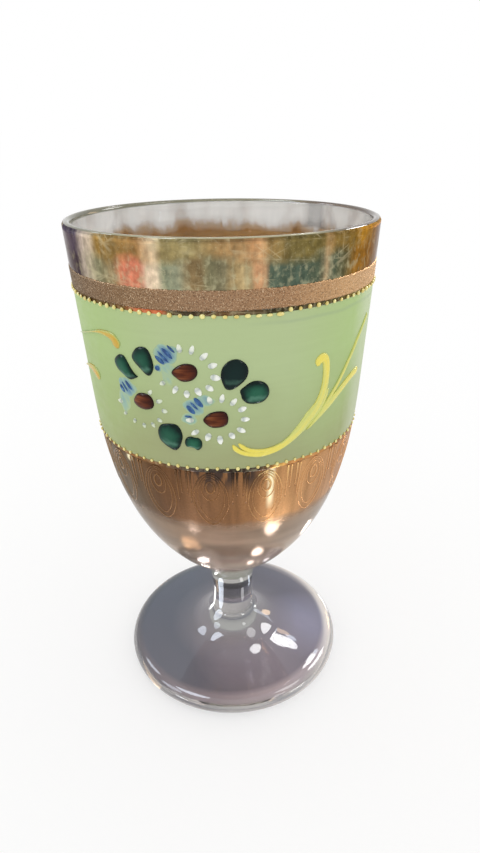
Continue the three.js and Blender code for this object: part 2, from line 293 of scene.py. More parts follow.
def foot_tint(place):
    """Mauve below, partly painted shade; darker and bluer behind, darker slate on the left, a lighter edge
    and a bluish sheen on the right and a brighter patch in front, all painted light and shade; grey in the
    flare.
    """
    # Darker and bluer towards the back: painted shade.
    back = (place.noise(60) * 0.02 + place.y).between(-0.018, 0.042)
    mauve = back.ramp([(0, (0.42, 0.31, 0.34, 1)), (1, (0.16, 0.185, 0.265, 1))])
    flat = vector(place.x, place.y)
    within = flat.distance(-0.0005, 0.0009).between(0.0312, 0.0294)
    # The edge is dark on the left and bright on the right: painted light and shade.
    edge = place.x.between(-0.033, 0.033).ramp([
        (0.0, (0.13, 0.13, 0.14, 1)), (0.4, (0.33, 0.31, 0.31, 1)), (0.95, (0.98, 0.92, 0.86, 1)),
    ])
    # Darker slate on the left and lighter on the right: painted light and shade over the smoky tint.
    smoke_and_painted_light = place.x.between(-0.03, 0.03).ramp([
        (0.25, (0.092, 0.12, 0.15, 1)), (0.55, (0.13, 0.12, 0.132, 1)), (0.85, (0.17, 0.165, 0.205, 1)),
    ])
    # A bluish patch on the right is a painted sheen, and a brighter patch in front is painted light.
    painted_sheen = flat.distance(0.0225, -0.003).between(0.015, 0.002)
    painted_light_patch = flat.distance(0.0070, -0.0110).between(0.021, 0.004)
    smoke_and_painted_light = painted_light_patch.mix(painted_sheen.mix(smoke_and_painted_light, (0.5, 0.54, 0.74, 1)), (0.36, 0.345, 0.385, 1))
    flare = place.z.between(0.0066, 0.0090)
    top = flare.mix(within.mix(edge, smoke_and_painted_light), (0.36, 0.36, 0.345, 1))
    ground = within * place.z.between(0.0016, 0.0013)
    return ground.mix(top, mauve)


weld = fused_weld()
foot_mesh = turned("foot_glass", foot_profile)
mark_welds(foot_mesh, FOOT_HEIGHT)
set_in_place("foot_glass", foot_mesh, "clear_glass", [clear_glass("foot_glass", foot_tint), weld], "foot")


# Stem: a short column of clear glass drawn from the bowl, a little narrower at its middle.
# It is fused to the foot below it and to the bowl above it.
STEM_LENGTH = 9
STEM_WAIST = 0.2

stem_top = FOOT_HEIGHT + STEM_LENGTH
stem_heights = np.linspace(FOOT_HEIGHT, stem_top, 17)
stem_radii = STEM_RADIUS - STEM_WAIST * np.sin(np.pi * (stem_heights - FOOT_HEIGHT) / STEM_LENGTH)
stem_profile = np.vstack([[(0, FOOT_HEIGHT)], np.stack([stem_radii, stem_heights], 1), [(0, stem_top)]])


def stem_tint(place):
    """Darker near the foot, partly smoky glass and partly painted shade, and clearer above, with faint cords
    drawn up and down the column.
    """
    up = place.z.between(FOOT_HEIGHT * MM, stem_top * MM)
    tint = up.ramp([(0.5, (0.36, 0.35, 0.35, 1)), (0.75, (0.66, 0.65, 0.68, 1))])
    return tint.shaded(place.clouds(0.9, 1.1, 300, 2, (1, 1, 12)))


stem_mesh = turned("stem_glass", stem_profile)
mark_welds(stem_mesh, FOOT_HEIGHT, stem_top)
set_in_place("stem_glass", stem_mesh, "clear_glass", [clear_glass("stem_glass", stem_tint), weld], "stem")


# Bowl: blown clear glass with a straight wall that opens a little upwards, a round belly and a thick base.
# Its lip is fire polished. The gilding and enamel are fired onto its outside.
RIM_RADIUS = 37
SHOULDER_RADIUS = 34.9
SHOULDER = 94.1
LIP = 133.1
HALF_LIP = 0.9
BASE = (10.7, 34.3)
FLOOR = 38.5
LEVEL_BELOW = 125
RIM_LIFT = 0.4
FRONT_LIFT = 0.35
LEFT_LIFT = 0.25

belly = curve_points([BASE, (28.36, 49.65), (33.47, 67.54), (SHOULDER_RADIUS, SHOULDER)], 48)
lip_angles = np.linspace(0, np.pi, 17)
lip_radii = RIM_RADIUS - HALF_LIP + HALF_LIP * np.cos(lip_angles)
lip_round = np.stack([lip_radii, LIP + HALF_LIP * np.sin(lip_angles)], 1)


def wall_radius(height):
    """Outside radius of the bowl in millimetres, at heights from its base to its rim."""
    outside = np.vstack([belly, lip_round[:8]])
    return np.interp(height, outside[:, 1], outside[:, 0])


bowl_profile = np.vstack([
    [(0, stem_top)],
    curve_points([(STEM_RADIUS, stem_top), (STEM_RADIUS, 30.56), BASE], 20),
    belly[1:],
    lip_round,
    curve_points([(32.8, SHOULDER), (31.2, 68.15), (21, FLOOR), (0, FLOOR)], 48),
])


def from_lip(place, below=0.0, above=1.0):
    """One value below the polished lip and another on it."""
    return place.z.between(LIP * MM + 0.0001, LIP * MM + 0.0004, below, above)


def bowl_tint(place):
    """Clear above, olive grey to faintly rosy in the thick base, the rosy a painted reflection of the copper
    gilding, and olive at the lip, paler in front and darker behind and on the right as painted light and
    shade.
    """
    share = place.z.between(0.024, 0.134) + place.clouds(-0.03, 0.03, 60)
    # The rosy tint low in the base stands for the reflected copper gilding: a painted reflection.
    glass = share.ramp([
        (0.05, (0.3, 0.3, 0.26, 1)), (0.11, (0.62, 0.58, 0.5, 1)), (0.33, (0.86, 0.78, 0.72, 1)),
        (0.43, (0.97, 0.96, 0.94, 1)),
    ])
    # The lip is paler in front and darker behind and on the right: painted light and shade.
    olive = place.y.between(-0.034, -0.022).mix((0.62, 0.58, 0.36, 1), (0.26, 0.25, 0.16, 1))
    olive = place.x.between(0.017, 0.027).mix(olive, (0.18, 0.12, 0.08, 1))
    return from_lip(place).mix(glass, olive)


def rim_out_of_level(mesh):
    """Lifts the uppermost glass and gold a little to the front and left, as a rim polished by hand is."""
    for corner in mesh.vertices:
        x, y, z = corner.co
        share = min(1, max(0, (z / MM - LEVEL_BELOW) / (LIP - LEVEL_BELOW)))
        corner.co.z += share**2 * (RIM_LIFT * MM - (FRONT_LIFT * y + LEFT_LIFT * x) / RIM_RADIUS)


bowl_glass = clear_glass("bowl_glass", bowl_tint)
bowl_glass.set(transmission_weight=from_lip(bowl_glass.place, 1, 0.4))
bowl_mesh = turned("bowl_glass", bowl_profile, 256)
rim_out_of_level(bowl_mesh)
mark_welds(bowl_mesh, stem_top)
set_in_place("bowl_glass", bowl_mesh, "clear_glass", [bowl_glass, weld], "bowl")


# Rim gilding: a film of liquid gold brushed on below the bare lip and fired to a mirror.
# Years of use have left fine scratches and rubbed patches; the vertical stripes of warmer, greener and darker
# gold round it are painted reflections.
GILT_TOP = 133.75
STIPPLE_TOP = 125.0
FILM_GAP = 0.05
GILT_THICKNESS = 0.12
GILT_OVERLAP = 0.12
FILM_EDGE = 0.2
RIM_MIDDLE = 130.2
RIM_THIN_FROM, RIM_THIN_TO = 124.5, 129.5
GOLD_WEAR = 0.3


def film(name, top, bottom, thickness, rows, turns=256, grain=0.0, waver=0.04, back_rows=None, seed=1):
    """A fired film round the bowl as a thin closed shell. Its second material is the side on the glass."""
    draw = np.random.default_rng(seed)
    bearings = np.linspace(-np.pi, np.pi, turns, endpoint=False)
    swell = sum(np.sin(k * bearings + draw.uniform(0, 6.28)) / k**0.5 for k in (3, 7, 13, 22, 37))
    ragged = grain * draw.uniform(-1, 1, (2, turns))
    low = bottom + waver * swell + ragged[0]
    high = top + waver * np.roll(swell, turns // 3) + ragged[1]

    def ring(share, lift):
        height = low + share * (high - low)
        radius = (wall_radius(height) + FILM_GAP + lift) * MM
        return np.stack([radius * np.sin(bearings), -radius * np.cos(bearings), height * MM], 1)

    outside = []
    for share in np.linspace(0, 1, rows + 1):
        to_edge = min(share, 1 - share) * (top - bottom)
        lift = thickness * min(1, 0.2 + to_edge / FILM_EDGE) + grain * draw.uniform(-0.5, 0.5, turns)
        outside.append(ring(share, lift))
    reverse = [ring(share, 0) for share in np.linspace(1, 0, (back_rows or rows) + 1)]
    count = len(outside) + len(reverse)
    here = np.arange(turns)
    there = (here + 1) % turns
    faces = []
    for row in range(count):
        near = row * turns
        far = (row + 1) % count * turns
        faces.append(np.stack([near + here, near + there, far + there, far + here], 1))
    mesh = new_mesh(name, np.vstack(outside + reverse), np.vstack(faces).tolist())
    sides = np.zeros((count, turns), int)
    sides[len(outside):-1] = 1
    mesh.polygons.foreach_set("material_index", sides.ravel())
    mesh.shade_smooth()
    mesh.set_sharp_from_angle(angle=math.radians(60))
    return mesh


def paint(red, green, blue):
    """A colour as a painter's chart gives it, 0 to 255, for a shader's socket."""
    light = [channel / 255 for channel in (red, green, blue)]
    return (*(c / 12.92 if c < 0.04045 else ((c + 0.055) / 1.055) ** 2.4 for c in light), 1)


def painted(value, stops):
    """A run of chart colours along a value."""
    return value.ramp([(place, paint(*colour)) for place, colour in stops])


def unrolled(place):
    """A place on the goblet laid flat: metres along it from the front line, and its height."""
    bearing = place.math("ARCTAN2", place.x, place.y * -1)
    return vector(bearing * (RIM_RADIUS * MM), place.z)


def bearing_share(around):
    """How far round the goblet a place is: 0.5 at the front, 0.75 on the right and 0 and 1 at the back."""
    return around.x * (1 / (2 * math.pi * RIM_RADIUS * MM)) + 0.5


def streaked(share, stops):
    """Colours that change round the goblet, at bearings in degrees. The left of the front is negative."""
    return painted(share, [(0.5 + bearing / 360, colour) for bearing, colour in stops])


def scratches(around, turns, width):
    """Fine scratches: thin level lines of noise drawn out along a few directions of the film."""
    marks = 0.0
    for turn, scale in turns:
        drawn = around.noise(scale, 1, (1, 30, 1), turn)
        marks = abs(drawn - 0.5).between(0, width, 1, 0).most(marks)
    return marks * around.noise(180).between(0.5, 0.62)


def mirror_gold(name, upper, lower, middle, worn):
    """Bright gold burnished by firing: streaked up and down, clouded where rubbed and finely scratched, with
    painted reflections as coloured stripes round it and a painted shade on its upward-facing top.
    """
    gilt = Finish(name, metallic=1.0, specular_tint=(0.55, 0.5, 0.5, 1))
    place = gilt.place
    around = unrolled(place)
    share = bearing_share(around) + around.noise(120, 3, (1, 3, 1)).between(0.25, 0.75, -0.004, 0.004)
    up = around.noise(150, 4) * 0.006 + place.z
    uppermost = up.between(middle * MM + 0.0022, middle * MM + 0.0042)
    streaks = around.clouds(0.82, 1.16, 700, 3, (1, 14, 1))
    facing = Signal(add(gilt.tree, "ShaderNodeNewGeometry").outputs["Normal"])
    # Where the film faces up at its top it is darkened: a painted shade.
    edge = facing.z.between(0.1, 0.5, 1.0, 0.45)
    gold = uppermost.mix(streaked(share, lower), streaked(share, upper))
    gold = gold.shaded(streaks, place.clouds(0.78, 1.34, 700, 5), edge)
    blots = around.noise(800, 4, (1, 1.6, 1)).between(0.5, 0.68, 0, 1.4 * worn)
    gold = (blots * uppermost.between(0, 1, 1, 0.25)).mix(gold, paint(196, 190, 152))
    lines = scratches(around, ((0.05, 420), (0.9, 300), (-1.15, 340), (1.5, 260)), 0.02)
    marks = place.noise(2600, 3).between(0.6, 0.78, 0, worn).most(lines * worn)
    dulled = marks.most(place.z.between(LIP * MM, LIP * MM + 0.0006))
    gilt.set(base_color=marks.mix(gold, paint(222, 208, 168)), roughness=dulled.between(0, 1, 0.14, 0.6))
    gilt.uneven(place.noise(420, 3), 0.12, 0.0004)
    return gilt


def gold_reverse(name, low, high, colours, thin=(0.5, 0.5)):
    """The side of a film that is seen through the glass. Light gets through it where it is thin."""
    back = Finish(
        name, roughness=0.4, specular_ior_level=0.3, subsurface_radius=(1, 1, 1), subsurface_scale=0.002,
    )
    place = back.place
    around = unrolled(place)
    share = place.z.between(low * MM, high * MM) + around.clouds(-0.4, 0.4, 150, 4, (1, 2, 1))
    lustre = painted(share, list(zip(np.linspace(0, 1, len(colours)), colours)))
    streaks = place.clouds(0.9, 1.06, 260, 3, (1, 1, 9))
    bearing = bearing_share(around)
    # A darker patch high up on the inside at the right of the back.
    off_dark_patch = abs(bearing - 0.872).most(place.z.between(0.128, 0.126, 0, 0.03))
    dark_patch = off_dark_patch.between(0.009, 0.022, 0.2, 1)
    # Darker over the right of the back: painted shade.
    painted_shade_right = abs(bearing - 0.8).between(0.04, 0.15, 0.72, 1)
    let_through = thin[0] if thin[0] == thin[1] else share.between(0, 1, *thin)
    back.set(base_color=lustre.shaded(streaks, dark_patch, painted_shade_right), subsurface_weight=let_through)
    return back


# The colours round the rim gold, in its upper and its lower half, are painted reflections.
UPPER_REFLECTION_STRIPES = [
    (-178, (150, 126, 82)), (-130, (150, 126, 78)), (-100, (176, 140, 92)), (-76, (72, 64, 84)),
    (-56, (84, 76, 92)), (-52, (190, 174, 160)), (-46, (196, 178, 152)), (-43, (150, 118, 62)),
    (-36, (142, 114, 66)), (-27, (150, 112, 66)), (-24.5, (196, 160, 120)), (-21.5, (206, 182, 148)),
    (-19, (140, 124, 82)), (-9, (150, 136, 92)), (-2, (160, 128, 84)), (6, (166, 132, 90)),
    (9, (194, 146, 100)), (11.5, (204, 160, 114)), (14, (150, 122, 76)), (20, (116, 102, 60)),
    (32, (112, 98, 54)), (34, (176, 140, 92)), (36.5, (122, 98, 50)), (46, (130, 102, 48)),
    (50, (168, 122, 40)), (60, (160, 116, 38)), (70, (150, 116, 60)), (90, (176, 150, 104)),
    (178, (150, 126, 82)),
]
LOWER_REFLECTION_STRIPES = [
    (-178, (140, 118, 78)), (-76, (50, 44, 56)), (-56, (60, 54, 62)), (-51, (190, 176, 158)),
    (-46, (176, 166, 136)), (-43, (128, 126, 96)), (-36, (150, 126, 90)), (-32, (196, 116, 90)),
    (-26, (200, 122, 94)), (-24, (224, 198, 170)), (-21, (226, 204, 174)), (-19, (120, 126, 102)),
    (-14, (144, 146, 120)), (-10, (124, 104, 72)), (-7, (126, 106, 74)), (-5, (116, 112, 84)),
    (0, (118, 110, 84)), (3, (166, 142, 98)), (6, (176, 154, 112)), (8, (150, 136, 100)),
    (10, (206, 154, 112)), (12, (204, 158, 116)), (14, (84, 96, 80)), (24, (76, 90, 76)),
    (32, (86, 94, 74)), (33.5, (196, 168, 128)), (35.5, (72, 84, 68)), (42, (96, 90, 60)),
    (48, (150, 106, 42)), (60, (146, 102, 34)), (76, (168, 138, 88)), (178, (140, 118, 78)),
]
REVERSE_TONES = [(222, 158, 86), (214, 164, 112), (238, 222, 210), (242, 230, 218)]
rim_gold = mirror_gold("rim_gold", UPPER_REFLECTION_STRIPES, LOWER_REFLECTION_STRIPES, RIM_MIDDLE, GOLD_WEAR)
rim_reverse = gold_reverse("rim_gold_reverse", RIM_THIN_FROM, RIM_THIN_TO, REVERSE_TONES, (0.0, 0.75))
rim_film = film("rim_gilding_film", GILT_TOP, STIPPLE_TOP - GILT_OVERLAP, GILT_THICKNESS, 16, seed=2)
rim_out_of_level(rim_film)
set_in_place("rim_gilding_film", rim_film, "bright_gold", [rim_gold, rim_reverse], "rim_gilding")


# Stippled band: gold fired over a ground of fine grains, so it stays matt; its sparkle grain by grain is
# painted as pale specks.
# Its edges are as rough as its grains.
STIPPLE_BOTTOM = 120.8
STIPPLE_THICKNESS = 0.22
STIPPLE_GRAIN = 0.11
STIPPLE_REVERSE = [(216, 156, 86), (226, 166, 92)]


def stippled_gold():
    gilt = Finish("stippled_gold", metallic=0.75)
    place = gilt.place
    # Its colours round the goblet, darker on the left and lighter on the right, are painted light.
    gold = streaked(bearing_share(unrolled(place)), [
        (-178, (158, 124, 93)), (-75, (110, 88, 61)), (-36, (133, 103, 72)), (-6, (153, 120, 90)),
        (20, (164, 126, 91)), (45, (208, 166, 118)), (70, (212, 172, 126)), (178, (158, 124, 93)),
    ])
    grains = place.noise(3600)
    # Pale specks on single grains are painted glints.
    glints = place.noise(5200, 1).between(0.6, 0.72, 0, 0.8)
    gold = glints.mix(gold.shaded(grains.between(0.36, 0.5, 0.62, 1.04)), paint(240, 214, 180))
    gilt.set(base_color=gold, roughness=grains.between(0.3, 0.7, 0.65, 0.35))
    gilt.uneven(grains, 0.5, 0.0002)
    return gilt


stipple_film = film(
    "stippled_film", STIPPLE_TOP, STIPPLE_BOTTOM, STIPPLE_THICKNESS, 26, 1400,
    grain=STIPPLE_GRAIN, waver=0.03, back_rows=2, seed=3,
)
stipple_finishes = [
    stippled_gold(),
    gold_reverse("stippled_reverse", STIPPLE_BOTTOM, STIPPLE_TOP, STIPPLE_REVERSE, (0.0, 0.1)),
]
set_in_place("stippled_film", stipple_film, "stippled_gold", stipple_finishes, "stippled_gilt_band")


# Gilt lines: two narrow lines of bright gold, one above and one below the green band.
# They are polished like the rim; their colours round the goblet are painted reflections, dark where they
# stand for the shade under the beads.
BAND_TOP = 119.9
BAND_BOTTOM = 84.0
LOWER_GILT_TOP = 83.0
UPPER_LINE_REFLECTIONS = [
    (-178, (170, 140, 86)), (-80, (150, 120, 70)), (-52, (92, 72, 44)), (-34, (116, 86, 52)),
    (-30, (190, 106, 68)), (-21, (206, 112, 74)), (-18.5, (92, 76, 50)), (-12, (60, 52, 40)),
    (0, (104, 78, 52)), (9, (88, 72, 50)), (14, (58, 52, 36)), (30, (66, 58, 36)), (46, (96, 84, 46)),
    (60, (186, 158, 80)), (80, (190, 160, 90)), (178, (170, 140, 86)),
]
LOWER_LINE_REFLECTIONS = [
    (-178, (170, 120, 76)), (-60, (140, 104, 62)), (-45, (150, 110, 70)), (-30, (132, 96, 64)),
    (-21, (96, 74, 56)), (-12, (70, 62, 58)), (0, (58, 48, 42)), (12, (64, 52, 44)), (17, (150, 112, 66)),
    (20, (224, 176, 90)), (23, (196, 140, 84)), (60, (186, 136, 88)), (178, (170, 120, 76)),
]
for name, node, top, bottom, reflection_stripes, seed in (
    ("upper_line_film", "upper_gilt_line", STIPPLE_BOTTOM, BAND_TOP, UPPER_LINE_REFLECTIONS, 4),
    ("lower_line_film", "lower_gilt_line", BAND_BOTTOM, LOWER_GILT_TOP, LOWER_LINE_REFLECTIONS, 5),
):
    line_gold = mirror_gold(name, reflection_stripes, reflection_stripes, bottom, GOLD_WEAR)
    line_reverse = gold_reverse(name + "_reverse", bottom, top, [(150, 116, 70), (170, 130, 80)])
    line_film = film(name, top, bottom, GILT_THICKNESS, 4, seed=seed)
    set_in_place(name, line_film, "bright_gold", [line_gold, line_reverse], node)


# Green band: opaque enamel laid on with a broad brush and fired to a satin face.
# It is a little yellower and lighter in places, with faint brush lines round the goblet and a pale strip on
# its right that is a painted sheen.
BAND_GREEN = (175, 192, 141)
BAND_THICKNESS = 0.2
COAT_EDGE = BAND_TOP - 1.6


def green_enamel():
    enamel = Finish("green_enamel", specular_ior_level=0.4)
    place = enamel.place
    share = bearing_share(unrolled(place))
    up = place.z.between(BAND_BOTTOM * MM, BAND_TOP * MM) + place.clouds(-0.14, 0.14, 45, 3)
    front = painted(up, [(0.05, (156, 162, 115)), (0.4, (167, 181, 130)), (0.7, BAND_GREEN)])
    sides = painted(up, [(0.05, (155, 165, 109)), (0.4, (164, 185, 120)), (0.7, (168, 193, 124))])
    brushed = place.noise(1100, 3, (20, 20, 1))
    green = abs(share - 0.5).between(0.06, 0.14).mix(front, sides)
    green = green.shaded(brushed.between(0.3, 0.7, 0.985, 1.012))
    # A pale strip on the right of the band is a painted sheen.
    pale = share.between(0.642, 0.672) * share.between(0.8, 0.72, 0, 0.45)
    green = pale.mix(green, paint(208, 216, 190))
    off_coat_edge = abs(place.noise(120) * 0.0008 + place.z - COAT_EDGE * MM)
    coat_line = off_coat_edge.between(0.0006, 0.0001) * share.between(0.51, 0.56, 0, 0.26)
    green = coat_line.mix(green, paint(138, 156, 130))
    enamel.set(base_color=green, roughness=place.clouds(0.42, 0.58, 500, 4))
    enamel.uneven(brushed, 0.06, 0.0002)
    return enamel


band_film = film("green_band_film", BAND_TOP, BAND_BOTTOM, BAND_THICKNESS, 28, seed=6)
band_finishes = [
    green_enamel(),
    gold_reverse("green_reverse", BAND_BOTTOM, BAND_TOP, [(242, 244, 228), (244, 246, 234)], (0.2, 0.2)),
]
set_in_place("green_band_film", band_film, "green_enamel", band_finishes, "green_enamel_band")


# Bead rows: drops of pale yellow enamel set one by one along both edges of the green band.
# The hand that set them drifted a little, so each row meets itself with a small step and some smeared drops.
BAND_FACE = FILM_GAP + BAND_THICKNESS
BEAD_PROUD = 0.85
BEAD_BACK = 0.3


def bead_yellow():
    """Glossy raised enamel, its yellow deeper and paler in clouds."""
    enamel = Finish("bead_yellow", specular_ior_level=0.5, coat_weight=0.4, coat_roughness=0.08)
    place = enamel.place
    yellow = painted(place.noise(420, 3), [(0.32, (216, 190, 96)), (0.62, (240, 230, 150))])
    enamel.set(base_color=yellow, roughness=place.clouds(0.16, 0.34, 900))
    enamel.uneven(place.noise(700), 0.1, 0.0002)
    return enamel


def copies_tree(name, sizes, counts=()):
    """A new tree with its named inputs, and the signals that they give."""
    tree = bpy.data.node_groups.new(name, "GeometryNodeTree")
    tree.interface.new_socket("Geometry", in_out="OUTPUT", socket_type="NodeSocketGeometry")
    kinds = {"Geometry": "Geometry", "Material": "Material"}
    kinds.update(dict.fromkeys(counts, "Int"))
    kinds.update(dict.fromkeys(sizes, "Float"))
    for socket, kind in kinds.items():
        tree.interface.new_socket(socket, in_out="INPUT", socket_type="NodeSocket" + kind)
    outputs = add(tree, "NodeGroupInput").outputs
    return tree, {socket: Signal(outputs[socket]) for socket in kinds}


def dressed_copies(tree, points, piece, facing, size, material):
    """Ends a tree: a copy of the piece on each point, all joined, smooth and in their material."""
    on_points = {"Points": points, "Instance": piece, "Rotation": facing, "Scale": size}
    copies = points.node("GeometryNodeInstanceOnPoints", on_points)
    joined = points.node("GeometryNodeRealizeInstances", {"Geometry": copies})
    smooth = points.node("GeometryNodeSetShadeSmooth", {"Geometry": joined})
    dressed = points.node("GeometryNodeSetMaterial", {"Geometry": smooth, "Material": material})
    add(tree, "NodeGroupOutput", {0: dressed})


def ring_of_copies():
    """A tree that sets copies of its piece round the goblet, each a little different."""
    sizes = (
        "Ring Radius", "Height", "First Bearing", "Size Spread", "Height Spread", "Dip", "Join Step", "Smear",
    )
    tree, given = copies_tree("ring_of_copies", sizes, ("Count", "Seed"))
    seed = given["Seed"]

    def chance(offset):
        either_way = {2: -0.5, 3: 0.5, "Seed": seed + offset}
        return seed.node("FunctionNodeRandomValue", either_way, 1, data_type="FLOAT")

    share = Signal(add(tree, "GeometryNodeInputIndex").outputs[0]) / given["Count"]
    bearing = share * (2 * math.pi) + given["First Bearing"]
    rise = (1 - share) ** 8 * given["Join Step"]
    dip = bearing.math("COSINE").most(0.0) ** 6 * given["Dip"]
    near_join = share**24 * given["Smear"]
    drift = near_join * -0.0004 + chance(1) * given["Height Spread"]
    height = given["Height"] + rise + drift - dip
    radius = given["Ring Radius"]
    spot = vector(bearing.math("SINE") * radius, bearing.math("COSINE") * (radius * -1), height)
    size = chance(2) * given["Size Spread"] + 1
    stretch = vector(near_join * 0.9 + size, size, near_join * -0.25 + size)
    spots = spot.node("GeometryNodePoints", {"Count": given["Count"], "Position": spot})
    dressed_copies(tree, spots, given["Geometry"], vector(0, 0, bearing), stretch, given["Material"])
    return tree


def made_by(tree, seed_mesh, finish, **values):
    """The plain mesh that a tree makes from a starting mesh, a finish and its named inputs."""
    maker = bpy.data.objects.new(seed_mesh.name, seed_mesh)
    bpy.context.scene.collection.objects.link(maker)
    modifier = maker.modifiers.new(tree.name, "NODES")
    modifier.node_group = tree
    values["Material"] = finish.material
    for item in tree.interface.items_tree:
        if item.in_out == "INPUT" and item.name in values:
            modifier[item.identifier] = values[item.name]
    view = bpy.context.evaluated_depsgraph_get()
    mesh = bpy.data.meshes.new_from_object(maker.evaluated_get(view))
    bpy.data.objects.remove(maker)
    bpy.data.meshes.remove(seed_mesh)
    mesh.materials.clear()
    return mesh


def bead(name, radius, proud):
    """One drop of enamel, facing -Y, that stands proud by a share of its radius and is flat behind."""
    sides, bands = 10, 6
    points = [(0, 0, 1)]
    for polar in math.pi * np.arange(1, bands) / bands:
        for turn in 2 * math.pi * np.arange(sides) / sides:
            out = math.sin(polar)
            points.append((out * math.cos(turn), out * math.sin(turn), math.cos(polar)))
    points.append((0, 0, -1))
    last = len(points) - 1
    faces = []
    for side in range(sides):
        after = (side + 1) % sides
        faces.append((0, 1 + side, 1 + after))
        for band in range(bands - 2):
            top = 1 + band * sides
            faces.append((top + side, top + sides + side, top + sides + after, top + after))
        faces.append((last, last - sides + after, last - sides + side))
    points = np.array(points)
    points[:, 1] = np.minimum(points[:, 1], BEAD_BACK * points[:, 1])
    return new_mesh(name, points * np.array([1, proud, 1]) * radius * MM, faces)


copies_round = ring_of_copies()
bead_finish = bead_yellow()
for name, node, height, radius, pitch, join, dip, step, smear, seed in (
    ("upper_beads", "upper_bead_row", BAND_TOP + 0.2, 0.48, 2.24, 21, 0.2, 0.3, 1.0, 11),
    ("lower_beads", "lower_bead_row", BAND_BOTTOM + 0.15, 0.42, 2.3, -150, 0.0, 0.2, 0.3, 12),
):
    ring_radius = wall_radius(height) + BAND_FACE
    beads = made_by(copies_round, bead(name, radius, BEAD_PROUD), bead_finish, **{
        "Count": round(2 * math.pi * ring_radius / pitch),
        "Ring Radius": ring_radius * MM,
        "Height": height * MM,
        "First Bearing": math.radians(join),
        "Size Spread": 0.3,
        "Height Spread": 0.15 * MM,
        "Dip": dip * MM,
        "Join Step": step * MM,
        "Smear": smear,
        "Seed": seed,
    })
    set_in_place(name, beads, "bead_enamel", [bead_finish], node)


# Lower gilding: coppery gold over a border that acid has etched matt, in a film that fades out on the belly.
# The border's lines stayed polished and stand a little proud: hanging ovals with bars between them.
LOWER_GILT_BOTTOM = 65.5
GILT_FADE = 37.0
OVAL_COUNT = 16
OVAL_BEARING = 14.7
BAR_TOP = 82.8
BAR_LENGTH = 9
BAR_MIDDLE = -6.25
BAR_SPREAD = 0.12
RELIEF_SEAT = FILM_GAP + 0.1


def copper_gold():
    gilt = Finish("copper_gold", metallic=0.9)
    place = gilt.place
    around = unrolled(place)
    share = bearing_share(around)
    # Its copper colours round the goblet, dark in front and bright on the right, are painted reflections; the
    # rosy colours of the fading film below, darker on the left, are painted light and shade.
    copper = streaked(share, [
        (-178, (176, 126, 82)), (-75, (106, 88, 60)), (-45, (102, 80, 52)), (-30, (108, 74, 45)),
        (-12, (130, 92, 61)), (2, (140, 100, 66)), (12, (158, 112, 70)), (19, (196, 146, 96)),
        (30, (190, 142, 94)), (50, (184, 136, 90)), (75, (176, 128, 86)), (178, (176, 126, 82)),
    ])
    rosy = streaked(share, [
        (-178, (150, 128, 108)), (-110, (140, 118, 96)), (-60, (84, 66, 44)), (-28, (130, 107, 87)),
        (-8, (154, 126, 106)), (30, (138, 120, 103)), (178, (150, 128, 108)),
    ])
    streaks = around.clouds(0.8, 1.16, 420, 3, (1, 10, 1))
    etched = place.clouds(0.88, 1.1, 2600, 3)
    bands = place.clouds(0.8, 1.6, 260, 3, (6, 6, 1))
    up = around.noise(160, 3) * 0.004 + place.z
    low = up.between(0.0695, 0.0655)
    base = place.z.between(0.057, 0.045, 1.0, 2.2)
    colour = low.mix(copper.shaded(streaks, etched), rosy.shaded(bands, base))
    # A bright vertical stripe on the right and a spark on the left are painted highlights.
    glint = abs(share - (0.5 + 16.6 / 360)).between(0.0055, 0.001) * place.z.between(0.0705, 0.0745)
    colour = glint.mix(colour, paint(255, 238, 196))
    spark = around.distance(-0.0287, 0.0825).between(0.0014, 0.0005)
    colour = spark.mix(colour, paint(255, 246, 206))
    # Dark wedges between the bars near the top in front are painted reflections of shade.
    shade = around.noise(560, 2, (1, 6, 1)).between(0.43, 0.52) * place.z.between(0.0765, 0.0812, 0, 0.85)
    shade = shade * abs(share - (0.5 - 2 / 360)).between(0.044, 0.03)
    matt = streaks.between(0.8, 1.16, 0.5, 0.36) * low.between(0, 1, 1, 0.26)
    cover = up.between(GILT_FADE * MM, 0.064, 0.35, 0.62).most(up.between(0.0645, 0.0695))
    gilt.set(base_color=shade.mix(colour, paint(52, 46, 46)), roughness=matt, alpha=cover)
    gilt.uneven(place.noise(2200), low.between(0, 1, 0.35, 0.14), 0.0002)
    return gilt


lower_reverse = gold_reverse("copper_reverse", LOWER_GILT_BOTTOM, LOWER_GILT_TOP, [(222, 190, 160)] * 2)
lower_reverse.set(alpha=lower_reverse.place.z.between(GILT_FADE * MM, 0.068, 0.1, 1))
lower_film = film("lower_gilding_film", LOWER_GILT_TOP, GILT_FADE, GILT_THICKNESS, 44, waver=0.1, seed=7)
lower_finishes = [copper_gold(), lower_reverse]
set_in_place("lower_gilding_film", lower_film, "copper_gold", lower_finishes, "lower_gilt_band")


def on_wall(along, height, lift):
    """A place on the bowl: millimetres along it from the front line, a height, and a lift off the glass."""
    along, height, lift = np.broadcast_arrays(*(np.asarray(v, float) for v in (along, height, lift)))
    wall = wall_radius(height)
    bearing = along / wall
    radius = wall + lift
    return np.stack([radius * np.sin(bearing), -radius * np.cos(bearing), height], -1) * MM


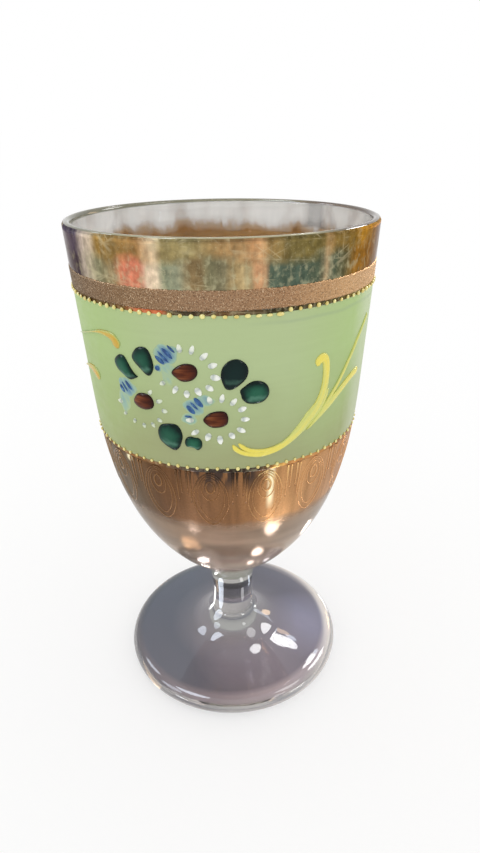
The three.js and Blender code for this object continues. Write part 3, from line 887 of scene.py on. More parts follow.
def rib(path, half_width, lift, seat, sides=7, closed=False):
    """A rounded ridge along a path on the bowl: points, faces, and how far along and across each is."""
    path = np.asarray(path, float)
    count = len(path)
    if closed:
        lead = np.roll(path, -1, 0) - np.roll(path, 1, 0)
    else:
        lead = np.gradient(path, axis=0)
    lead /= np.linalg.norm(lead, axis=1)[:, None]
    left = np.stack([-lead[:, 1], lead[:, 0]], 1)
    half_width, lift = (np.broadcast_to(v, count) for v in (half_width, lift))
    across = np.linspace(-1, 1, sides)
    crown = np.sqrt(1 - np.abs(across) ** 2.4)
    rows = []
    for k in range(count):
        places = path[k] + left[k] * (half_width[k] * across)[:, None]
        rows.append(on_wall(places[:, 0], places[:, 1], seat + lift[k] * crown))
    faces = []
    for k in range(count if closed else count - 1):
        near = k * sides
        far = (k + 1) % count * sides
        for side in range(sides):
            after = (side + 1) % sides
            faces.append((near + side, far + side, far + after, near + after))
    if not closed:
        faces.append(tuple(range(sides)))
        faces.append(tuple(reversed(range((count - 1) * sides, count * sides))))
    return np.vstack(rows), faces, np.repeat(np.linspace(0, 1, count), sides), np.tile(across, count)


def run_together(name, shapes):
    """One mesh from several shapes, each given by its points and faces."""
    points = []
    faces = []
    for shape_points, shape_faces, *_ in shapes:
        first = len(points)
        points += shape_points.tolist()
        faces += [tuple(first + corner for corner in face) for face in shape_faces]
    return new_mesh(name, points, faces)


def oval(middle, half_breadth, half_height, point=0.0, corners=40):
    """A closed outline round a middle height, drawn down to a point at its lower end."""
    turn = np.linspace(0, 2 * np.pi, corners, endpoint=False)
    narrow = 1 - point * np.clip(-np.cos(turn), 0, 1) ** 2
    return np.stack([half_breadth * narrow * np.sin(turn), middle + half_height * np.cos(turn)], 1)


def relief_gold():
    """The polished lines, with painted reflections: dark in front, and bright on the right."""
    gilt = Finish("relief_gold", metallic=1.0)
    place = gilt.place
    share = bearing_share(unrolled(place)) + place.clouds(-0.012, 0.012, 500, 3, (1, 1, 3))
    upper = streaked(share, [
        (-178, (196, 146, 100)), (-70, (150, 120, 84)), (-40, (132, 96, 62)), (-24, (108, 78, 52)),
        (-10, (84, 64, 50)), (-5, (60, 48, 40)), (5, (62, 48, 38)), (11, (112, 82, 54)),
        (15, (244, 210, 144)), (20, (238, 196, 130)), (30, (214, 164, 112)), (70, (200, 150, 104)),
        (178, (196, 146, 100)),
    ])
    lower = streaked(share, [
        (-178, (196, 146, 100)), (-60, (140, 110, 74)), (-30, (136, 98, 62)), (4, (148, 106, 70)),
        (14, (204, 156, 104)), (24, (212, 160, 108)), (178, (196, 146, 100)),
    ])
    gold = place.z.between(0.0775, 0.0815).mix(lower, upper)
    gilt.set(base_color=gold, roughness=place.clouds(0.16, 0.34, 1200))
    return gilt


border_lines = []
for outline, half_width, lift in (
    (oval(74.6, 4.1, 8.0, 0.25), 0.2, 0.1),
    (oval(75.2, 3.2, 6.9, 0.3), 0.16, 0.08),
    (oval(78.0, 2.1, 3.4, 0.1), 0.17, 0.1),
    (oval(78.5, 1.0, 1.7), 0.3, 0.12),
):
    border_lines.append(rib(outline, half_width, lift, RELIEF_SEAT, 5, closed=True))
for bar, foot in ((-8.0, 73.5), (-7.0, 76.0), (-5.4, 76.0), (-4.5, 73.5)):
    heights = np.linspace(BAR_TOP, foot, 10)
    lean = bar + (bar - BAR_MIDDLE) * BAR_SPREAD * (heights - BAR_TOP) / BAR_LENGTH
    border_lines.append(rib(np.stack([lean, heights], 1), np.linspace(0.34, 0.12, 10), 0.1, RELIEF_SEAT, 5))
relief_finish = relief_gold()
border = made_by(copies_round, run_together("border_relief", border_lines), relief_finish, **{
    "Count": OVAL_COUNT,
    "First Bearing": math.radians(OVAL_BEARING),
})
set_in_place("border_relief", border, "copper_gold", [relief_finish])


# Leaves: thick drops of bottle green enamel, each set with a full brush and drawn out to a point.
# They stand almost a millimetre proud, glossy, dark at the rim and lighter towards the crown, with a painted
# highlight across their lower side.
BAND_MIDDLE = 101.95
MOTIF_SCALE = 0.997
LEAF_HEIGHT = 0.8
DROP_SUNK = 0.03
LEAVES = [
    (0.6, [(-19.9, 3.4), (-20.6, 3.8), (-21.8, 5.3), (-23.0, 7.3), (-24.0, 7.8), (-25.3, 7.4), (-26.5, 6.0),
           (-25.8, 4.3), (-24.0, 3.1), (-22.4, 2.3), (-21.2, 2.6)]),
    (0.5, [(-16.5, 4.4), (-15.7, 6.0), (-15.8, 7.9), (-16.6, 10.0), (-17.9, 10.6), (-19.7, 10.0),
           (-21.0, 8.1), (-20.4, 6.8), (-19.0, 5.5), (-17.5, 4.2)]),
    (0.0, [(-0.4, 2.4), (0.9, 2.0), (2.5, 2.9), (4.0, 4.4), (4.5, 6.1), (4.0, 7.7), (2.5, 8.8), (0.7, 8.6),
           (-0.8, 7.1), (-1.2, 5.0)]),
    (0.6, [(2.7, 1.7), (2.9, 0.6), (3.2, -0.4), (4.3, -1.4), (6.2, -1.6), (7.7, -1.2), (8.8, 0.0), (8.9, 1.6),
           (8.1, 3.0), (6.6, 3.7), (5.1, 3.6), (3.6, 2.6)]),
    (0.5, [(-12.1, -13.6), (-11.2, -12.9), (-10.6, -11.7), (-10.1, -9.6), (-10.6, -7.7), (-11.6, -6.8),
           (-13.7, -6.9), (-15.2, -7.5), (-16.0, -9.0), (-15.8, -11.0), (-14.7, -12.3), (-13.3, -13.2)]),
    (0.7, [(-5.9, -12.1), (-5.8, -10.7), (-6.4, -9.8), (-7.4, -9.7), (-8.3, -9.5), (-9.2, -9.9),
           (-9.7, -11.0), (-9.4, -12.1), (-8.5, -12.2), (-7.5, -12.4), (-6.7, -12.9)]),
]
SPRAYS = (("front", 0), ("back", math.pi))


def smooth_line(corners, spacing, closed=False):
    """Even steps along a smooth line through its corners. A closed line stops short of its first point."""
    corners = np.array(corners, float)
    if closed:
        padded = np.vstack([corners[-1:], corners, corners[:2]])
    else:
        padded = np.vstack([2 * corners[0] - corners[1], corners, 2 * corners[-1] - corners[-2]])
    fine = []
    for before, start, end, after in zip(padded, padded[1:], padded[2:], padded[3:]):
        share = np.linspace(0, 1, 24, endpoint=False)[:, None]
        bend = 2 * before - 5 * start + 4 * end - after
        twist = 3 * start - before - 3 * end + after
        fine.append(0.5 * (2 * start + (end - before) * share + bend * share**2 + twist * share**3))
    fine = np.vstack([*fine, padded[-2]])
    run = np.append(0, np.cumsum(np.linalg.norm(np.diff(fine, axis=0), axis=1)))
    even = np.linspace(0, run[-1], max(8, round(run[-1] / spacing)), endpoint=not closed)
    return np.stack([np.interp(even, run, fine[:, axis]) for axis in (0, 1)], 1)


def keep_marks(mesh, marks):
    """Stores a piece's own marks on its points, for its material."""
    for name, values in marks.items():
        mesh.attributes.new(name, "FLOAT", "POINT").data.foreach_set("value", np.asarray(values, np.float32))


def mound_faces(rings, sides):
    """Faces of a mound: its flat base, the bands between its rings and the fan to its crown."""
    faces = [tuple(reversed(range(sides)))]
    top = (rings - 1) * sides
    for low in range(0, top, sides):
        high = low + sides
        for side in range(sides):
            after = (side + 1) % sides
            faces.append((low + side, low + after, high + after, high + side))
    return faces + [(top + side, top + (side + 1) % sides, top + sides) for side in range(sides)]


def drop_of_enamel(name, corners, height, tone):
    """A domed drop on the band, its point first. It keeps how far up, to its point and down each place is."""
    edge = smooth_line(corners, 0.3, closed=True) * MOTIF_SCALE
    sides = len(edge)
    middle = edge.mean(0)
    edge = edge - middle
    middle = middle + (0, BAND_MIDDLE)
    shares = np.array([1, 1, 0.98, 0.94, 0.88, 0.8, 0.7, 0.58, 0.44, 0.28, 0.12])
    lifts = height * (1 - shares**2.3) ** 0.55
    lifts[0] = -DROP_SUNK
    rows = []
    for share, lift in zip(shares, lifts):
        spots = middle + edge * share
        rows.append(on_wall(spots[:, 0], spots[:, 1], BAND_FACE + lift))
    points = np.vstack([*rows, on_wall([middle[0]], [middle[1]], [BAND_FACE + height])])
    mesh = new_mesh(name, points, mound_faces(len(shares), sides))
    pointing = edge[0] / np.linalg.norm(edge[0])

    def inwards(values):
        return np.append(np.outer(shares, values / np.abs(values).max()).ravel(), 0)

    keep_marks(mesh, {
        "crown": np.append(np.repeat(1 - shares, sides), 1),
        "to_point": inwards(edge @ pointing),
        "to_side": inwards(edge @ np.array([-pointing[1], pointing[0]])),
        "to_bottom": inwards(-edge[:, 1]),
        "tone": np.full(len(points), tone),
    })
    mesh.shade_smooth()
    return mesh


def turned_to_side(mesh, turn):
    """Carries a painted piece from the front of the goblet to its own side."""
    mesh.transform(Matrix.Rotation(turn, 4, "Z"))
    return mesh


def set_drops(piece, node, drops, height, slot, finish):
    """Each drop of a kind, on the front and on the back."""
    for side, turn in SPRAYS:
        for number, (tone, corners) in enumerate(drops, 1):
            name = f"{piece}_{side}_{number}"
            drop = turned_to_side(drop_of_enamel(name, corners, height, tone), turn)
            set_in_place(name, drop, slot, [finish], f"{side}_{node}_{number}")


def glossy_drop(name):
    """The shine of a thick drop. Its colour is still to come."""
    enamel = Finish(name, specular_ior_level=0.14)
    enamel.set(roughness=enamel.place.clouds(0.06, 0.16, 800))
    enamel.uneven(enamel.place.noise(500), 0.15, 0.0003)
    return enamel


def leaf_green():
    enamel = glossy_drop("leaf_green")
    cloud = enamel.place.clouds(-0.2, 0.2, 320, 3)
    crown, tone = enamel.mark("crown"), enamel.mark("tone")
    depth = crown + cloud
    deep = painted(depth, [(0.05, (4, 20, 20)), (0.3, (8, 30, 28)), (0.7, (12, 36, 34))])
    # Leaves with a higher tone are a paler green.
    paler_green = painted(depth, [
        (0.02, (4, 30, 24)), (0.2, (16, 62, 48)), (0.5, (36, 98, 74)), (0.9, (50, 116, 88)),
    ])
    low = enamel.mark("to_bottom") + cloud
    # A light band across the lower side of each leaf is a painted highlight.
    painted_highlight = low.between(0.25, 0.5) * low.between(0.75, 0.55) * crown.between(0.12, 0.3)
    painted_highlight = painted_highlight * tone.between(0, 0.5, 0.22, 0.5)
    enamel.set(base_color=painted_highlight.mix(tone.mix(deep, paler_green), paint(96, 142, 122)))
    return enamel


set_drops("leaf_drop", "leaf", LEAVES, LEAF_HEIGHT, "leaf_green_enamel", leaf_green())


# Flower eyes: drops of red-brown enamel at the middle of each flower, as thick and glossy as the leaves.
# Orange streaks on one side of each eye are a painted glint, the other side has a painted shadow, and the rim
# is almost black.
EYE_HEIGHT = 0.75
EYES = [
    (1, [(-11.6, 5.6), (-10.7, 4.5), (-9.3, 3.7), (-7.4, 4.0), (-6.2, 5.1), (-6.0, 6.5), (-6.8, 7.6),
         (-8.6, 7.8), (-10.4, 7.0)]),
    (-1, [(-16.4, -2.5), (-17.0, -0.9), (-18.7, -0.3), (-20.7, -0.9), (-21.9, -2.8), (-20.9, -4.0),
          (-19.0, -4.4), (-17.1, -3.8)]),
    (1, [(-5.3, -5.1), (-4.7, -6.2), (-3.4, -7.0), (-1.5, -6.9), (-0.2, -6.2), (0.1, -4.6), (-0.5, -3.2),
         (-2.2, -3.0), (-4.0, -3.6)]),
]


def eye_brown():
    enamel = glossy_drop("eye_brown")
    crown, to_point = enamel.mark("crown"), enamel.mark("to_point")
    brown = painted(crown, [(0.03, (30, 8, 4)), (0.16, (64, 25, 12)), (0.5, (90, 40, 18))])
    hairs = vector(enamel.mark("to_side"), to_point).noise(3.0, 2, (1, 7, 1))
    # One side of each eye gets orange streaks, a painted glint, and the other side a painted shadow.
    glow = enamel.mark("tone") * to_point
    painted_glint = hairs.between(0.45, 0.62) * glow.between(-0.4, 0.35) * crown.between(0.08, 0.25, 0, 0.6)
    painted_shadow = hairs.between(0.52, 0.38) * glow.between(0.5, -0.5, 0.15, 0.75)
    enamel.set(base_color=painted_shadow.mix(painted_glint.mix(brown, paint(144, 84, 46)), paint(44, 12, 6)))
    return enamel


set_drops("flower_eye", "flower_eye", EYES, EYE_HEIGHT, "brown_enamel", eye_brown())


# Petals: small raised drops of white enamel round each eye, pulled outwards with the tip of the brush.
# A wash of blue with a few stronger touches tints the upper left of each flower.
PETAL_SIZES = {"Half Length": 1.05 * MM, "Half Breadth": 0.72 * MM, "Height": 0.45 * MM}
WASH_SEAT = 0.01
WASH_HEIGHT = 0.07
WASH_SUNK = 0.03
TOUCH_SEAT = 0.03
TOUCH_HEIGHT = 0.25
FLOWERS = [
    {
        "middle": (-8.6, 107.8),
        "petals": [(-9.5, 113, 0.7), (-6.9, 112.8, 0.8), (-4.5, 111.5, 0.9), (-2.8, 109.5, 0.9),
                   (-2.3, 106.8, 1), (-3.6, 104.4, 1), (-6, 103.5, 1), (-8.5, 102.8, 1), (-11, 103.6, 0.9),
                   (-13.8, 104.8, 0.5)],
        "wash": [((-12.6, 111.4), 2.9, 2.6, 1), ((-14.6, 108.2), 1.0, 0.9, 0.8),
                 ((-12.4, 107.4), 1.8, 3.2, 0.26)],
        "touches": [((-15.0, 110.9), (-13.0, 109.2), 0.5), ((-14.3, 112.0), (-12.0, 109.7), 0.28),
                    ((-13.3, 112.8), (-11.1, 110.6), 0.45), ((-12.1, 113.5), (-10.5, 112.0), 0.28),
                    ((-15.2, 108.4), (-14.2, 107.9), 0.62)],
    },
    {
        "middle": (-20.1, 98.3),
        "petals": [(-17.1, 102.1, 0.45), (-15, 100.3, 0.4), (-13.9, 98.1, 0.45), (-15.3, 95.6, 0.4),
                   (-17.1, 94.1, 0.35), (-19.6, 93.4, 0.3), (-22.3, 93.9, 0.3), (-25.1, 95.1, 0.3),
                   (-26.3, 97.9, 0.5)],
        "wash": [((-23.6, 102.0), 2.9, 2.5, 0.9), ((-24.8, 98.4), 2.0, 3.2, 0.28)],
        "touches": [((-25.7, 102.3), (-24.4, 100.6), 0.45), ((-24.9, 103.1), (-23.3, 101.0), 0.28),
                    ((-23.8, 103.6), (-22.1, 101.7), 0.4)],
    },
    {
        "middle": (-2.3, 97),
        "petals": [(-3.7, 101.6, 0.8), (-1.1, 102, 0.9), (1.3, 101.1, 0.9), (3.1, 99.3, 1), (3.7, 96.8, 1),
                   (2.8, 94.2, 1), (0.8, 92.9, 1), (-1.8, 91.9, 1), (-4.4, 92.6, 0.9), (-7.2, 93.6, 0.9),
                   (-8.2, 96.6, 0.7)],
        "wash": [((-7.0, 99.9), 2.6, 2.2, 0.6), ((-4.6, 101.4), 2.2, 1.5, 0.45),
                 ((-8.3, 96.9), 1.9, 1.6, 0.45)],
        "touches": [((-8.7, 100.1), (-7.0, 98.2), 0.6), ((-7.9, 101.0), (-6.2, 99.2), 0.25),
                    ((-7.0, 102.0), (-5.2, 99.9), 0.6), ((-9.3, 97.5), (-7.6, 97.4), 0.25)],
    },
]


def petal_white():
    enamel = Finish("petal_white", specular_ior_level=0.4)
    place = enamel.place
    outward = enamel.mark("outward")
    # The grey band near the inner end of each full petal is a painted shade.
    full = painted(outward, [
        (0.0, (222, 228, 212)), (0.3, (186, 194, 190)), (0.45, (222, 226, 218)), (0.6, (242, 244, 236)),
    ])
    faint = painted(outward, [
        (0.0, BAND_GREEN), (0.25, (122, 132, 126)), (0.42, (186, 200, 164)), (1, (196, 210, 170)),
    ])
    enamel.set(base_color=enamel.mark("fullness").mix(faint, full), roughness=place.clouds(0.15, 0.3, 900))
    enamel.uneven(place.noise(900), 0.12, 0.0002)
    return enamel


def petals_on_spots():
    """A tree that sets a petal on each of its points, turned and sized by the point's own marks."""
    tree, given = copies_tree("petals_on_spots", ("Half Length", "Half Breadth", "Height"))
    sphere = add(tree, "GeometryNodeMeshUVSphere", {"Segments": 10, "Rings": 8, "Radius": 1.0})
    ball = Signal(sphere.outputs[0])
    place = Signal(add(tree, "GeometryNodeInputPosition").outputs[0])
    outward = place.z * 0.5 + 0.5
    kept = {"Geometry": ball, "Name": "outward", "Value": outward}
    ball = ball.node("GeometryNodeStoreNamedAttribute", kept, data_type="FLOAT", domain="POINT")
    narrow = 1 - outward**2.0 * 0.28
    flat_behind = place.math("MINIMUM", place.y, place.y * 0.25)
    shaped = vector(
        place.x * narrow * given["Half Breadth"],
        flat_behind * narrow * given["Height"],
        place.z * given["Half Length"],
    )
    petal = ball.node("GeometryNodeSetPosition", {"Geometry": ball, "Position": shaped})
    facing, size = (
        ball.node("GeometryNodeInputNamedAttribute", {"Name": name}, data_type="FLOAT_VECTOR")
        for name in ("facing", "size")
    )
    dressed_copies(tree, given["Geometry"], petal, facing, size, given["Material"])
    return tree


def petal_spots(name, middle, spots, seed):
    """The places of a flower's petals, each with the way it points and its size."""
    draw = np.random.default_rng(seed)
    spots = np.array(spots)
    outward = spots[:, :2] - np.array(middle)
    mesh = new_mesh(name, on_wall(spots[:, 0], spots[:, 1], BAND_FACE))
    facing = np.zeros((len(spots), 3))
    facing[:, 1] = np.arctan2(outward[:, 0], outward[:, 1])
    facing[:, 2] = spots[:, 0] / wall_radius(spots[:, 1])
    size = draw.uniform(0.88, 1.12, (len(spots), 3)) * (0.6 + 0.4 * spots[:, 2:])
    for mark_name, values in (("facing", facing), ("size", size)):
        mesh.attributes.new(mark_name, "FLOAT_VECTOR", "POINT").data.foreach_set("vector", values.ravel())
    keep_marks(mesh, {"fullness": spots[:, 2]})
    return mesh


petal_finish = petal_white()
petal_tree = petals_on_spots()
for side, turn in SPRAYS:
    for number, flower in enumerate(FLOWERS, 1):
        name = f"petals_{side}_{number}"
        spots = petal_spots(name, flower["middle"], flower["petals"], 20 + number)
        petals = made_by(petal_tree, spots, petal_finish, **PETAL_SIZES)
        turned_to_side(petals, turn)
        set_in_place(name, petals, "white_enamel", [petal_finish], f"{side}_petal_ring_{number}")


def wash_blue():
    """Thin blue enamel that fades into the green of the band at its edge."""
    enamel = Finish("wash_blue", specular_ior_level=0.25)
    place = enamel.place
    hairs = unrolled(place).noise(900, 2, (1, 3, 1), 0.6).between(0.34, 0.66, 0.3, 0.95)
    blue = painted(enamel.mark("depth") * hairs, [
        (0.02, BAND_GREEN), (0.14, (150, 182, 164)), (0.3, (132, 164, 164)), (0.5, (102, 138, 164)),
        (0.72, (68, 106, 150)), (0.95, (46, 78, 132)),
    ])
    enamel.set(base_color=blue, roughness=place.clouds(0.3, 0.45, 500, 4))
    return enamel


def wash_patch(middle, half_breadth, half_height, strength, sides=28, rings=7):
    """A thin low mound of wash: its points, its faces and its depth, which is nothing at its edge."""
    around = np.linspace(0, 2 * np.pi, sides, endpoint=False)
    ragged = 1 + 0.08 * np.sin(3 * around + middle[0]) + 0.06 * np.sin(5 * around + middle[1])
    outline = np.stack([half_breadth * np.cos(around), half_height * np.sin(around)], 1)
    points = []
    depth = []
    for ring in range(rings):
        share = 1 - ring / rings
        spots = middle + outline * (share * ragged)[:, None]
        lift = BAND_FACE + (WASH_SEAT + WASH_HEIGHT * (1 - share**2) if ring else -WASH_SUNK)
        points.append(on_wall(spots[:, 0], spots[:, 1], lift))
        depth += [strength * (1 - share**1.8)] * sides
    points.append(on_wall([middle[0]], [middle[1]], [BAND_FACE + WASH_SEAT + WASH_HEIGHT]))
    return np.vstack(points), mound_faces(rings, sides), np.array(depth + [strength])


def touch_blue():
    enamel = Finish("touch_blue", specular_ior_level=0.25)
    place = enamel.place
    blue = painted(place.noise(900), [(0.35, (40, 70, 122)), (0.55, (56, 96, 146)), (0.72, (92, 132, 172))])
    enamel.set(base_color=blue, roughness=place.clouds(0.15, 0.3, 900))
    return enamel


wash_finish = wash_blue()
touch_finish = touch_blue()
for side, turn in SPRAYS:
    for number, flower in enumerate(FLOWERS, 1):
        name = f"blue_wash_{side}_{number}"
        patches = [wash_patch(*patch) for patch in flower["wash"]]
        wash = run_together(name, patches)
        keep_marks(wash, {"depth": np.concatenate([patch[2] for patch in patches])})
        wash.shade_smooth()
        set_in_place(name, turned_to_side(wash, turn), "white_enamel", [wash_finish])
        name = f"blue_touches_{side}_{number}"
        touches = []
        for start, end, half_width in flower["touches"]:
            share = np.linspace(0, 1, 13)
            path = np.array(start) + share[:, None] * (np.array(end) - np.array(start))
            swell = np.sqrt(np.clip(1 - (2 * share - 1) ** 2, 0.02, 1))
            touches.append(rib(path, half_width * swell, TOUCH_HEIGHT * swell, BAND_FACE + TOUCH_SEAT, 9))
        touch = run_together(name, touches)
        touch.shade_smooth()
        set_in_place(name, turned_to_side(touch, turn), "white_enamel", [touch_finish])


# Scrolls and flourishes: long strokes of yellow enamel, pulled with a loaded brush from their thick heads.
# The brush split into two ridges at the start of the big scroll, and the strokes thin out where they end.
STROKE_HEIGHT = 0.42
STROKE_SUNK = 0.02
STROKES = {
    "scroll_stem": [
        ([(0.9, -11.5), (1.7, -12.7), (3.2, -13.7), (5.3, -14.3), (7.7, -14.4), (11.4, -13.4), (15.2, -11.1),
          (18.8, -7.9), (21.7, -4.5), (23.1, -1.1), (23.4, 2.6), (23.0, 5.4), (22.1, 6.3), (21.0, 5.7),
          (20.8, 4.6)],
         (0.6, 0.65, 0.78, 0.9, 1.15, 1.3, 1.2, 1.05, 1.05, 1.15), (0, 0.1, 0.4, 0.8, 0.9, 0.7, 0.3, 0)),
        ([(2.2, -11.2), (2.9, -12.0), (3.9, -12.8), (5.6, -13.4), (7.7, -13.6), (9.9, -13.3), (12.5, -12.3)],
         (0.55, 0.55, 0.45, 0.3), (0, 0, 0.2, 0.5)),
        ([(13.2, -12.2), (16.6, -9.9), (19.6, -7.4), (22.4, -4.6), (24.6, -1.8)],
         (0.5, 1.3, 2.0, 1.7, 0.3), (1, 1, 1, 1), 0.2),
    ],
    "scroll_branch": [
        ([(18.3, -10.6), (21.9, -7.9), (25.6, -5.4), (29.9, -3.1), (33.8, -1.6), (37.7, -1.0)],
         (0.1, 0.7, 1.05, 0.9, 0.85, 1.0), (1, 1, 0.9, 0.6, 0.2, 0)),
    ],
    "scroll_tendril": [
        ([(22.6, -6.6), (25.2, -4.0), (27.2, -2.0), (29.3, 0.4), (31.6, 3.1), (33.5, 5.2), (35.6, 7.6),
          (38.5, 10.1), (41, 11.9)],
         (0.4, 0.5, 0.45, 0.4, 0.33, 0.15), (1, 0.7, 0.7, 0.9, 1)),
    ],
    "upper_flourish": [
        ([(-46, 7.4), (-37.4, 9.9), (-31.9, 11.4), (-28.6, 11.7), (-26.5, 11.4), (-25.4, 10.5), (-24.9, 9.0)],
         (0.12, 0.16, 0.2, 0.34, 0.72, 1.45), (1, 1, 0.7, 0.3, 0)),
    ],
    "lower_flourish": [
        ([(-49, -2.4), (-43.1, 0.0), (-38.2, 0.6), (-35.7, 0.1), (-34.9, -1.3)],
         (0.15, 0.3, 0.75, 1.6), (1, 0.6, 0.3, 0.1)),
    ],
}


def brush_yellow():
    enamel = Finish("brush_yellow", specular_ior_level=0.35)
    across = enamel.mark("across")
    hairs = vector(across, enamel.mark("along")).clouds(-0.3, 0.3, 2.6, 2, (1, 0.5, 1))
    share = enamel.mark("thin") * 0.6 + abs(across) ** 2.0 * 0.4 + hairs
    yellow = painted(share, [(0.0, (236, 219, 90)), (0.35, (226, 216, 110)), (0.8, (206, 212, 124))])
    ochre = painted(share, [
        (0.0, (204, 164, 58)), (0.25, (206, 178, 76)), (0.45, (184, 188, 102)), (0.65, (174, 192, 124)),
    ])
    colour = enamel.mark("ochre").mix(yellow, ochre)
    enamel.set(base_color=colour, roughness=enamel.place.clouds(0.18, 0.34, 900))
    enamel.uneven(hairs, 0.25, 0.0003)
    return enamel


def brush_stroke(corners, widths, thinness, height=STROKE_HEIGHT):
    """One pull of the brush as a rounded ridge, with its marks."""
    placed = [(along * MOTIF_SCALE, BAND_MIDDLE + up * MOTIF_SCALE) for along, up in corners]
    path = smooth_line(placed, 0.35)
    share = np.linspace(0, 1, len(path))
    ends = np.sqrt(np.clip(np.minimum(share, 1 - share) * len(path) / 3, 0.12, 1))
    half_width = np.interp(share, np.linspace(0, 1, len(widths)), widths) * ends
    points, faces, along, across = rib(path, half_width, height * ends, BAND_FACE - STROKE_SUNK, 13)
    thin = np.interp(along, np.linspace(0, 1, len(thinness)), thinness)
    return points, faces, {"across": across, "along": along, "thin": thin}


brush_finish = brush_yellow()
for side, turn in SPRAYS:
    for stroke, pulls in STROKES.items():
        name = f"{stroke}_{side}"
        ridges = [brush_stroke(*pull) for pull in pulls]
        mesh = run_together(name, ridges)
        for key in ("across", "along", "thin"):
            keep_marks(mesh, {key: np.concatenate([ridge[2][key] for ridge in ridges])})
        keep_marks(mesh, {"ochre": np.full(len(mesh.vertices), float(stroke.endswith("flourish")))})
        mesh.shade_smooth()
        set_in_place(name, turned_to_side(mesh, turn), "yellow_enamel", [brush_finish], f"{side}_{stroke}")


# Studio: a plain white floor that fades into white all round, even soft light, and small lamps for the glass.
# The lamps above give the foot its bright spots, and those near the floor give the belly and the stem theirs.
FLOOR_REACH = 20
FLOOR_DROP = 0.0002
FLOOR_GLOW = 0.55

floor_sides = ((-1, -1), (1, -1), (1, 1), (-1, 1))
floor_corners = [(x * FLOOR_REACH, y * FLOOR_REACH, -FLOOR_DROP) for x, y in floor_sides]
floor_mesh = new_mesh("floor", floor_corners, [(0, 1, 2, 3)])
floor = bpy.data.objects.new("floor", floor_mesh)
bpy.context.scene.collection.objects.link(floor)
floor_white = Finish("floor_white", base_color=(1, 1, 1, 1), roughness=1.0, specular_ior_level=0.0)
seen = add(floor_white.tree, "ShaderNodeLightPath").outputs
camera_ray, glossy_ray, through_ray = (
    Signal(seen[f"Is {kind} Ray"]) for kind in ("Camera", "Glossy", "Transmission")
)
glow = add(floor_white.tree, "ShaderNodeEmission", {"Color": (1, 1, 1, 1), "Strength": 1.0})
floor_white.surface(add(floor_white.tree, "ShaderNodeMixShader", {
    0: camera_ray.most(glossy_ray).most(through_ray) * FLOOR_GLOW,
    1: Signal(floor_white.shader.outputs["BSDF"]),
    2: Signal(glow.outputs[0]),
}))
floor_mesh.materials.append(floor_white.material)

world = bpy.data.worlds.new("studio_white")
world.use_nodes = True
sky = world.node_tree.nodes["Background"]
fill(sky, "Color", (1, 1, 1, 1))
fill(sky, "Strength", 1.0)
bpy.context.scene.world = world

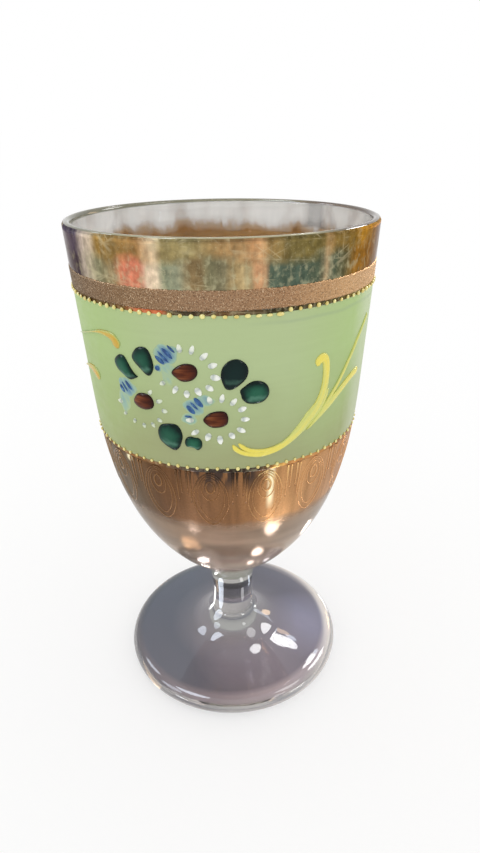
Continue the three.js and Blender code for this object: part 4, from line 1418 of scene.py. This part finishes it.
COOL, WHITE, WARM = (0.8, 0.88, 1), (1, 1, 1), (1, 0.72, 0.45)
for name, spot, aim, radius, radiance, colour in (
    ("lamp_big_left", (0.1444, 0.3271, 0.4854), (0.0128, -0.0105, 0.0071), 0.018, 16, WHITE),
    ("lamp_big_right", (0.1625, 0.3307, 0.4773), (0.0163, -0.0115, 0.0067), 0.017, 16, WHITE),
    ("lamp_big_top", (0.1640, 0.3582, 0.4587), (0.0152, -0.0077, 0.0071), 0.009, 7, WARM),
    ("lamp_big_side", (0.1737, 0.3470, 0.4631), (0.0179, -0.0099, 0.0066), 0.008, 9, COOL),
    ("lamp_back_left", (-0.3654, 0.1856, 0.4516), (-0.010, -0.007, 0.008), 0.07, 9, COOL),
    ("lamp_left", (-0.219, -0.072, 0.211), (-0.005, -0.007, 0.010), 0.05, 7, COOL),
    ("lamp_high_left", (-0.228, -0.037, 0.565), (-0.005, -0.011, 0.008), 0.1, 12, COOL),
    ("lamp_high_right", (0.299, -0.071, 0.529), (0.005, -0.009, 0.009), 0.09, 6, WHITE),
    ("lamp_warm", (0.279, 0.262, 0.145), (0.011, -0.001, 0.009), 0.045, 9, WARM),
    ("lamp_edge", (0.187, 0.094, 0.231), (0.025, -0.018, 0.005), 0.045, 14, WHITE),
    ("lamp_edge_near", (0.177, -0.169, 0.214), (0.013, -0.030, 0.005), 0.03, 6, WHITE),
    ("glint_foot", (0.0086, -0.0037, 0.0246), (0.0062, -0.0135, 0.0074), 0.0027, 14, WHITE),
    ("glint_right", (0.0346, -0.0367, 0.0095), (0.0102, -0.0284, 0.0637), 0.0065, 12, WHITE),
    ("glint_far_right", (0.045, 0.026, 0.001), (0.0195, -0.0185, 0.055), 0.006, 7, WHITE),
    ("glint_low_right", (0.0162, -0.0195, 0.010), (0.0066, -0.0252, 0.0536), 0.0035, 12, WHITE),
    ("glint_neck", (0.0094, -0.0090, 0.0138), (0.0049, -0.0217, 0.0472), 0.002, 4, WHITE),
    ("glint_left", (-0.0358, -0.0447, 0.0051), (-0.0093, -0.0294, 0.0658), 0.005, 10, COOL),
    ("glint_low_left", (-0.0288, -0.0187, 0.0040), (-0.0102, -0.0254, 0.0564), 0.008, 3.5, WARM),
    ("glint_stem", (-0.0152, -0.0085, 0.0120), (-0.0062, -0.0075, 0.0150), 0.005, 9, COOL),
    ("glint_stem_right", (0.0165, 0.0018, 0.0125), (0.0052, -0.0038, 0.0253), 0.0018, 4, COOL),
    ("glint_stem_foot", (-0.0127, 0.0045, 0.0096), (-0.0077, 0.0075, 0.0161), 0.0024, 8, WHITE),
):
    lamp_data = bpy.data.lights.new(name, "AREA")
    lamp_data.shape = "DISK"
    lamp_data.size = 2 * radius
    lamp_data.energy = radiance * math.pi * math.pi * radius**2
    lamp_data.color = colour
    lamp = bpy.data.objects.new(name, lamp_data)
    lamp.location = spot
    lamp.rotation_mode = "QUATERNION"
    lamp.rotation_quaternion = (Vector(aim) - Vector(spot)).to_track_quat("-Z", "Y")
    lamp.visible_camera = False
    lamp.visible_diffuse = False
    lamp.visible_transmission = False
    bpy.context.scene.collection.objects.link(lamp)

bpy.context.scene.view_settings.view_transform = "Standard"
bpy.context.scene.cycles.max_bounces = 24
bpy.context.scene.cycles.glossy_bounces = 16
bpy.context.scene.cycles.transmission_bounces = 16
